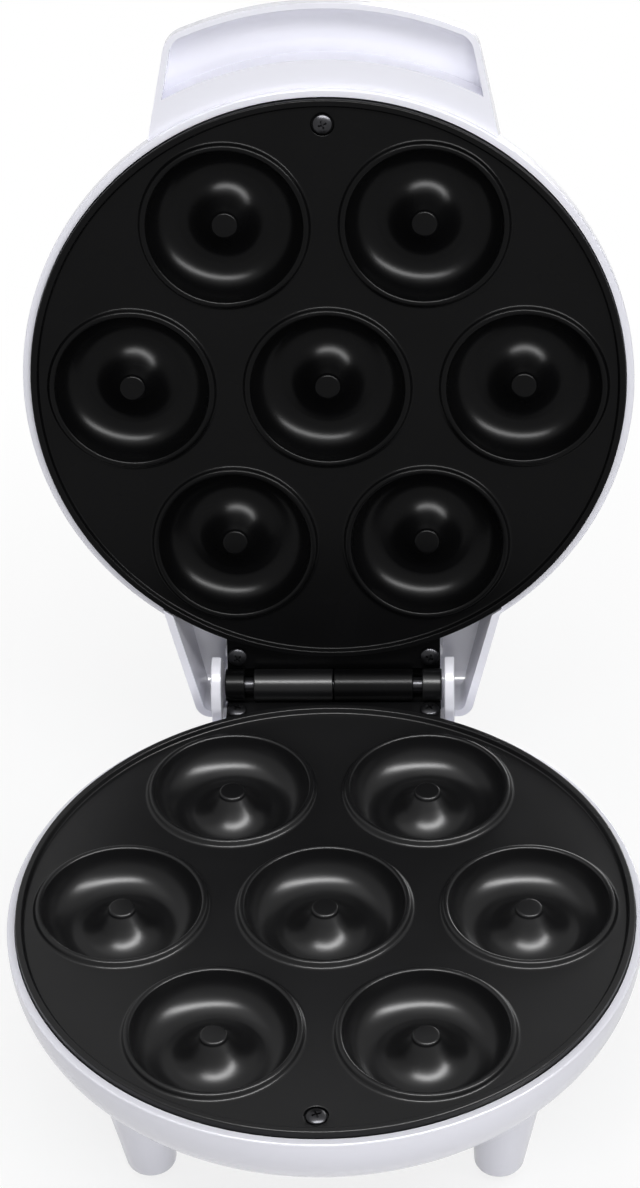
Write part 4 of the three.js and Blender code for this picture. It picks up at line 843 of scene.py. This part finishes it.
handle = worked(handle_plan("handle", 0, BAND_Z, 40.0), "INTERSECT", handle_roof(0))
softened(handle, LIP_EDGE_ROUND, over=50)
handle_hollow = worked(handle_plan("handle_hollow", HANDLE_WALL, BAND_Z + HANDLE_WALL, 40.0),
                       "INTERSECT", handle_roof(HANDLE_WALL),
                       drum("keep", KEEP_RADIUS, BAND_Z, 41.0, sides=HOUSING_STEPS))
band_reach = BAND_RADIUS + HANDLE_MIDDLE
floor_line = eased([(-0.4, 1), (0.1, 1), (0.35, 0.98), (0.62, 0.86), (0.83, 0.6), (0.95, 0.25),
                    (1, 0)], 4)
scoop_floor = [(band_reach + (LIP_RADIUS - band_reach) * along,
                BAND_Z + HANDLE_WALL + SCOOP_DEPTH * share) for along, share in floor_line]
scoop = spun(traced("scoop", [(0, BAND_Z + 9.5), *scoop_floor, (LIP_RADIUS, BAND_Z - 2),
                              (0, BAND_Z - 2)]), HOUSING_STEPS, (0, HANDLE_MIDDLE, 0))
worked(scoop, "INTERSECT", handle_plan("scoop_plan", 1.8, BAND_Z - 2, 20.0))
worked(scoop, "DIFFERENCE", drum("band", BAND_RADIUS, BAND_Z - 3, 20.0, sides=HOUSING_STEPS))

# Three bosses stand inside the lid for the plate's screws, and two holes in its crown take the
# lenses. Then dome, hood and handle become the one moulding that they really are.
LENS_HOLE = 3.7
lens_places = (("power", -9.0, -48.0), ("ready", 9.0, -48.0))
boss_ends = (7.3, 7.9, 7.9)
bosses = [drum("boss", BOSS_RADIUS, LID_LEVEL + end, 39.0, place)
          for end, place in zip(boss_ends, screw_places)]
holes = [drum("lens_hole", LENS_HOLE, 26.0, 46.0, (x, y)) for _, x, y in lens_places]
holes += [drum("screw_hole", BORE_RADIUS, 4.0, 22.0, place, 24) for place in screw_places]
worked(dome_hollow, "UNION", hood_hollow, handle_hollow)
worked(dome_hollow, "DIFFERENCE", *bosses)
lid = worked(dome, "UNION", hood, handle)
worked(lid, "DIFFERENCE", dome_hollow, scoop, *holes)
lid = settled(lid, "white_lid", white_plastic, "lid")
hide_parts("lid_shell")

# Two small lenses of clear plastic in the top of the lid, a red one and a green one, each over
# a neon lamp. They are turned cups with a collar, pushed in from outside.
LENS_RADIUS = 3.4
LENS_INSIDE = 2.6
LENS_LENGTH = 11.0
LENS_WALL = 1.3
COLLAR_RADIUS = 4.6
lens_finishes = {
    name: finish(kind, colour, clouded, cloud_size=200.0, roughness=0.12, spread=0.04,
                 grain_size=1500.0, bump=0.03, Transmission_Weight=0.6, IOR=1.5)
    for name, kind, colour, clouded in (
        ("power", "red_lens", (0.55, 0.012, 0.014), (0.48, 0.01, 0.012)),
        ("ready", "green_lens", (0.01, 0.30, 0.05), (0.01, 0.26, 0.04)),
    )
}
for name, x, y in lens_places:
    top = CROWN_LEVEL + CROWN_RISE * (1 - math.hypot(x, y) / CROWN_EDGE) + 0.3
    low = top - LENS_LENGTH
    lens = spun(traced("lens", [(0, top + 1.3), (3.0, top + 1.15, 1.2), (3.5, top + 0.7, 0.2),
                                (COLLAR_RADIUS, top + 0.5, 0.3), (COLLAR_RADIUS, top, 0.1),
                                (LENS_RADIUS, top), (LENS_RADIUS, low), (LENS_INSIDE, low),
                                (LENS_INSIDE, top - LENS_WALL), (0, top - LENS_WALL)]),
                48, (x, y, 0))
    lens = settled(lens, name + "_light_lens", lens_finishes[name], "lid")
    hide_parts(name + "_lens")

# The working pieces inside, steel heaters and clamps, ceramic parts, sleeved leads and neon
# lamps, keep the shapes they were laid out with and get their own finishes.
inside_finishes = {
    "element_steel": finish("element_steel", (0.20, 0.19, 0.185), (0.13, 0.115, 0.11),
                            cloud_size=60.0, roughness=0.42, spread=0.2, grain_size=2500.0,
                            bump=0.2, depth=0.0001, metallic=1.0),
    "pressed_steel": finish("pressed_steel", (0.50, 0.51, 0.52), (0.42, 0.42, 0.44),
                            cloud_size=90.0, roughness=0.34, spread=0.14, grain_size=3000.0,
                            bump=0.12, depth=0.0001, metallic=1.0, scuffs=0.4),
    "ceramic": finish("ceramic", (0.78, 0.74, 0.66), (0.70, 0.66, 0.58), cloud_size=140.0,
                      roughness=0.55, spread=0.1, grain_size=1800.0, grain_share=0.8, bump=0.2,
                      depth=0.0001),
    "lead_sleeve": finish("lead_sleeve", (0.80, 0.78, 0.72), (0.70, 0.68, 0.62), cloud_size=180.0,
                          roughness=0.65, spread=0.1, grain_size=4000.0, grain_share=1.0, bump=0.4,
                          depth=0.0001),
    "lamp_glass": finish("lamp_glass", (0.85, 0.62, 0.50), (0.80, 0.52, 0.40), cloud_size=250.0,
                         roughness=0.06, spread=0.03, grain_size=1200.0, bump=0.02,
                         Transmission_Weight=0.8, IOR=1.5),
}
inside_pieces = {
    "lower_heater": "element_steel", "upper_heater": "element_steel",
    "lower_heater_clamp": "pressed_steel", "upper_heater_clamp": "pressed_steel",
    "lower_clamp_screw": "pressed_steel", "upper_clamp_screw": "pressed_steel",
    "fuse_clip": "pressed_steel", "thermal_fuse": "ceramic", "terminal_block": "ceramic",
    "thermostat": "ceramic", "power_lamp": "lamp_glass", "ready_lamp": "lamp_glass",
    "base_lead_supply": "lead_sleeve", "base_lead_heater": "lead_sleeve",
    "base_lead_fuse": "lead_sleeve",
    "lid_lead_heater_a": "lead_sleeve", "lid_lead_heater_b": "lead_sleeve",
    "lid_lead_lamp_a": "lead_sleeve", "lid_lead_lamp_b": "lead_sleeve",
}
for name, kind in inside_pieces.items():
    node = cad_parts[name]
    node.data.materials.clear()
    node.data.materials.append(inside_finishes[kind])

# A pale paper floor and a white room round it. The camera and the reflections see both close
# to white. Near the maker the paper keeps its soft shadow, which fades out further away.
PAPER_LIT = (0.42, 0.42, 0.43, 1)
PAPER_SEEN = (0.95, 0.95, 0.955, 1)
WHITE = (1, 1, 1, 1)
SHADOW_NEAR = 0.13
SHADOW_FAR = 0.36
WHITE_NEAR = 0.80
ROOM_LIGHT = 0.18


def background_rays(tree):
    """Gives 1 for rays of the camera, the gloss and clear pieces, and 0 for plain light."""
    rays = tree.nodes.new("ShaderNodeLightPath")
    seen = rays.outputs["Is Camera Ray"]
    for kind in ("Is Glossy Ray", "Is Transmission Ray"):
        either = tree.nodes.new("ShaderNodeMath")
        either.operation = "MAXIMUM"
        tree.links.new(seen, either.inputs[0])
        tree.links.new(rays.outputs[kind], either.inputs[1])
        seen = either.outputs["Value"]
    return seen


bpy.ops.object.select_all(action="DESELECT")
bpy.ops.mesh.primitive_plane_add(size=8.0, location=(0, 0, 0))
floor = bpy.context.object
floor.name = "studio_floor"
paper = bpy.data.materials.new("studio_paper")
paper.use_nodes = True
paper_nodes, links = paper.node_tree.nodes, paper.node_tree.links
paper_shader = paper_nodes["Principled BSDF"]
paper_shader.inputs["Roughness"].default_value = 0.9
paper_shader.inputs["Specular IOR Level"].default_value = 0.1
tone = paper_nodes.new("ShaderNodeMix")
tone.data_type = "RGBA"
tone.inputs["A"].default_value = PAPER_LIT
tone.inputs["B"].default_value = PAPER_SEEN
links.new(background_rays(paper.node_tree), tone.inputs["Factor"])
links.new(tone.outputs["Result"], paper_shader.inputs["Base Color"])
white = paper_nodes.new("ShaderNodeEmission")
white.inputs["Color"].default_value = WHITE
white.inputs["Strength"].default_value = 1.0
place = paper_nodes.new("ShaderNodeTexCoord")
away = paper_nodes.new("ShaderNodeVectorMath")
away.operation = "LENGTH"
links.new(place.outputs["Object"], away.inputs[0])
fade = paper_nodes.new("ShaderNodeMapRange")
fade.inputs["From Min"].default_value = SHADOW_NEAR
fade.inputs["From Max"].default_value = SHADOW_FAR
fade.inputs["To Min"].default_value = WHITE_NEAR
links.new(away.outputs["Value"], fade.inputs["Value"])
share = paper_nodes.new("ShaderNodeMath")
share.operation = "MULTIPLY"
links.new(background_rays(paper.node_tree), share.inputs[0])
links.new(fade.outputs["Result"], share.inputs[1])
both = paper_nodes.new("ShaderNodeMixShader")
links.new(share.outputs["Value"], both.inputs["Fac"])
links.new(paper_shader.outputs["BSDF"], both.inputs[1])
links.new(white.outputs["Emission"], both.inputs[2])
links.new(both.outputs["Shader"], paper_nodes["Material Output"].inputs["Surface"])
floor.data.materials.append(paper)

world = bpy.data.worlds.new("studio_white")
bpy.context.scene.world = world
world.use_nodes = True
sky, links = world.node_tree.nodes, world.node_tree.links
strength = sky.new("ShaderNodeMapRange")
strength.inputs["To Min"].default_value = ROOM_LIGHT
strength.inputs["To Max"].default_value = 1.0
links.new(background_rays(world.node_tree), strength.inputs["Value"])
links.new(strength.outputs["Result"], sky["Background"].inputs["Strength"])
sky["Background"].inputs["Color"].default_value = WHITE

# Soft lamps stand in front, above and behind. Two more, low in front and at the left, light the
# plain colours only, and a long narrow one in front shows only in the gloss.
LAMP_AIM = (0.0, 0.0, 0.1)


def soft_light(name, place, aim, width, height, watts, plain=True, gloss=True):
    lamp = bpy.data.lights.new(name, "AREA")
    lamp.shape = "RECTANGLE"
    lamp.size, lamp.size_y, lamp.energy = width, height, watts
    holder = bpy.data.objects.new(name, lamp)
    bpy.context.scene.collection.objects.link(holder)
    away = (Vector(place) - Vector(aim)).normalized()
    across = (Vector((1, 0, 0)) - away * away.x).normalized()
    along = away.cross(across)
    holder.matrix_world = Matrix(((across.x, along.x, away.x, place[0]),
                                  (across.y, along.y, away.y, place[1]),
                                  (across.z, along.z, away.z, place[2]), (0, 0, 0, 1)))
    holder.visible_diffuse, holder.visible_glossy = plain, gloss


soft_light("front_light", (0.25, -0.47, 1.05), LAMP_AIM, 1.2, 0.2, 6)
soft_light("top_light", (-0.3, 0.0, 1.2), LAMP_AIM, 1.0, 0.8, 2.5)
soft_light("low_light", (0.25, -1.2, 0.30), (0.0, -0.1, 0.0), 0.9, 0.4, 6, gloss=False)
soft_light("left_light", (-1.3, 0.4, 0.4), LAMP_AIM, 0.8, 0.5, 4, gloss=False)
soft_light("back_light", (0.5, 1.35, 0.32), LAMP_AIM, 0.9, 0.5, 9)
soft_light("long_gloss", (0.30, -0.45, 1.05), LAMP_AIM, 1.7, 0.2, 46, plain=False)

# The camera stands where the photograph was taken from, above and in front, with the lens and
# the slight roll that bring all fourteen cavities to their places in the photograph.
CAMERA_PLACE = (0.03915, -0.76799, 0.74317)
FOCAL_LENGTH = 97.80
PITCH, YAW, ROLL = math.radians(37.657), math.radians(-2.933), math.radians(-2.018)
bpy.ops.object.select_all(action="DESELECT")
camera_data = bpy.data.cameras.new("camera")
camera_data.lens = FOCAL_LENGTH
camera_data.sensor_width = 36.0
camera_data.sensor_fit = "AUTO"
camera = bpy.data.objects.new("camera", camera_data)
bpy.context.scene.collection.objects.link(camera)
looking = Vector((math.sin(YAW) * math.cos(PITCH), math.cos(YAW) * math.cos(PITCH),
                  -math.sin(PITCH)))
right = looking.cross(Vector((0, 0, 1))).normalized()
up = right.cross(looking)
tilted_right = right * math.cos(ROLL) + up * math.sin(ROLL)
tilted_up = up * math.cos(ROLL) - right * math.sin(ROLL)
camera.matrix_world = Matrix((
    (tilted_right.x, tilted_up.x, -looking.x, CAMERA_PLACE[0]),
    (tilted_right.y, tilted_up.y, -looking.y, CAMERA_PLACE[1]),
    (tilted_right.z, tilted_up.z, -looking.z, CAMERA_PLACE[2]), (0, 0, 0, 1)))
bpy.context.scene.camera = camera
bpy.context.scene.view_settings.view_transform = "Standard"
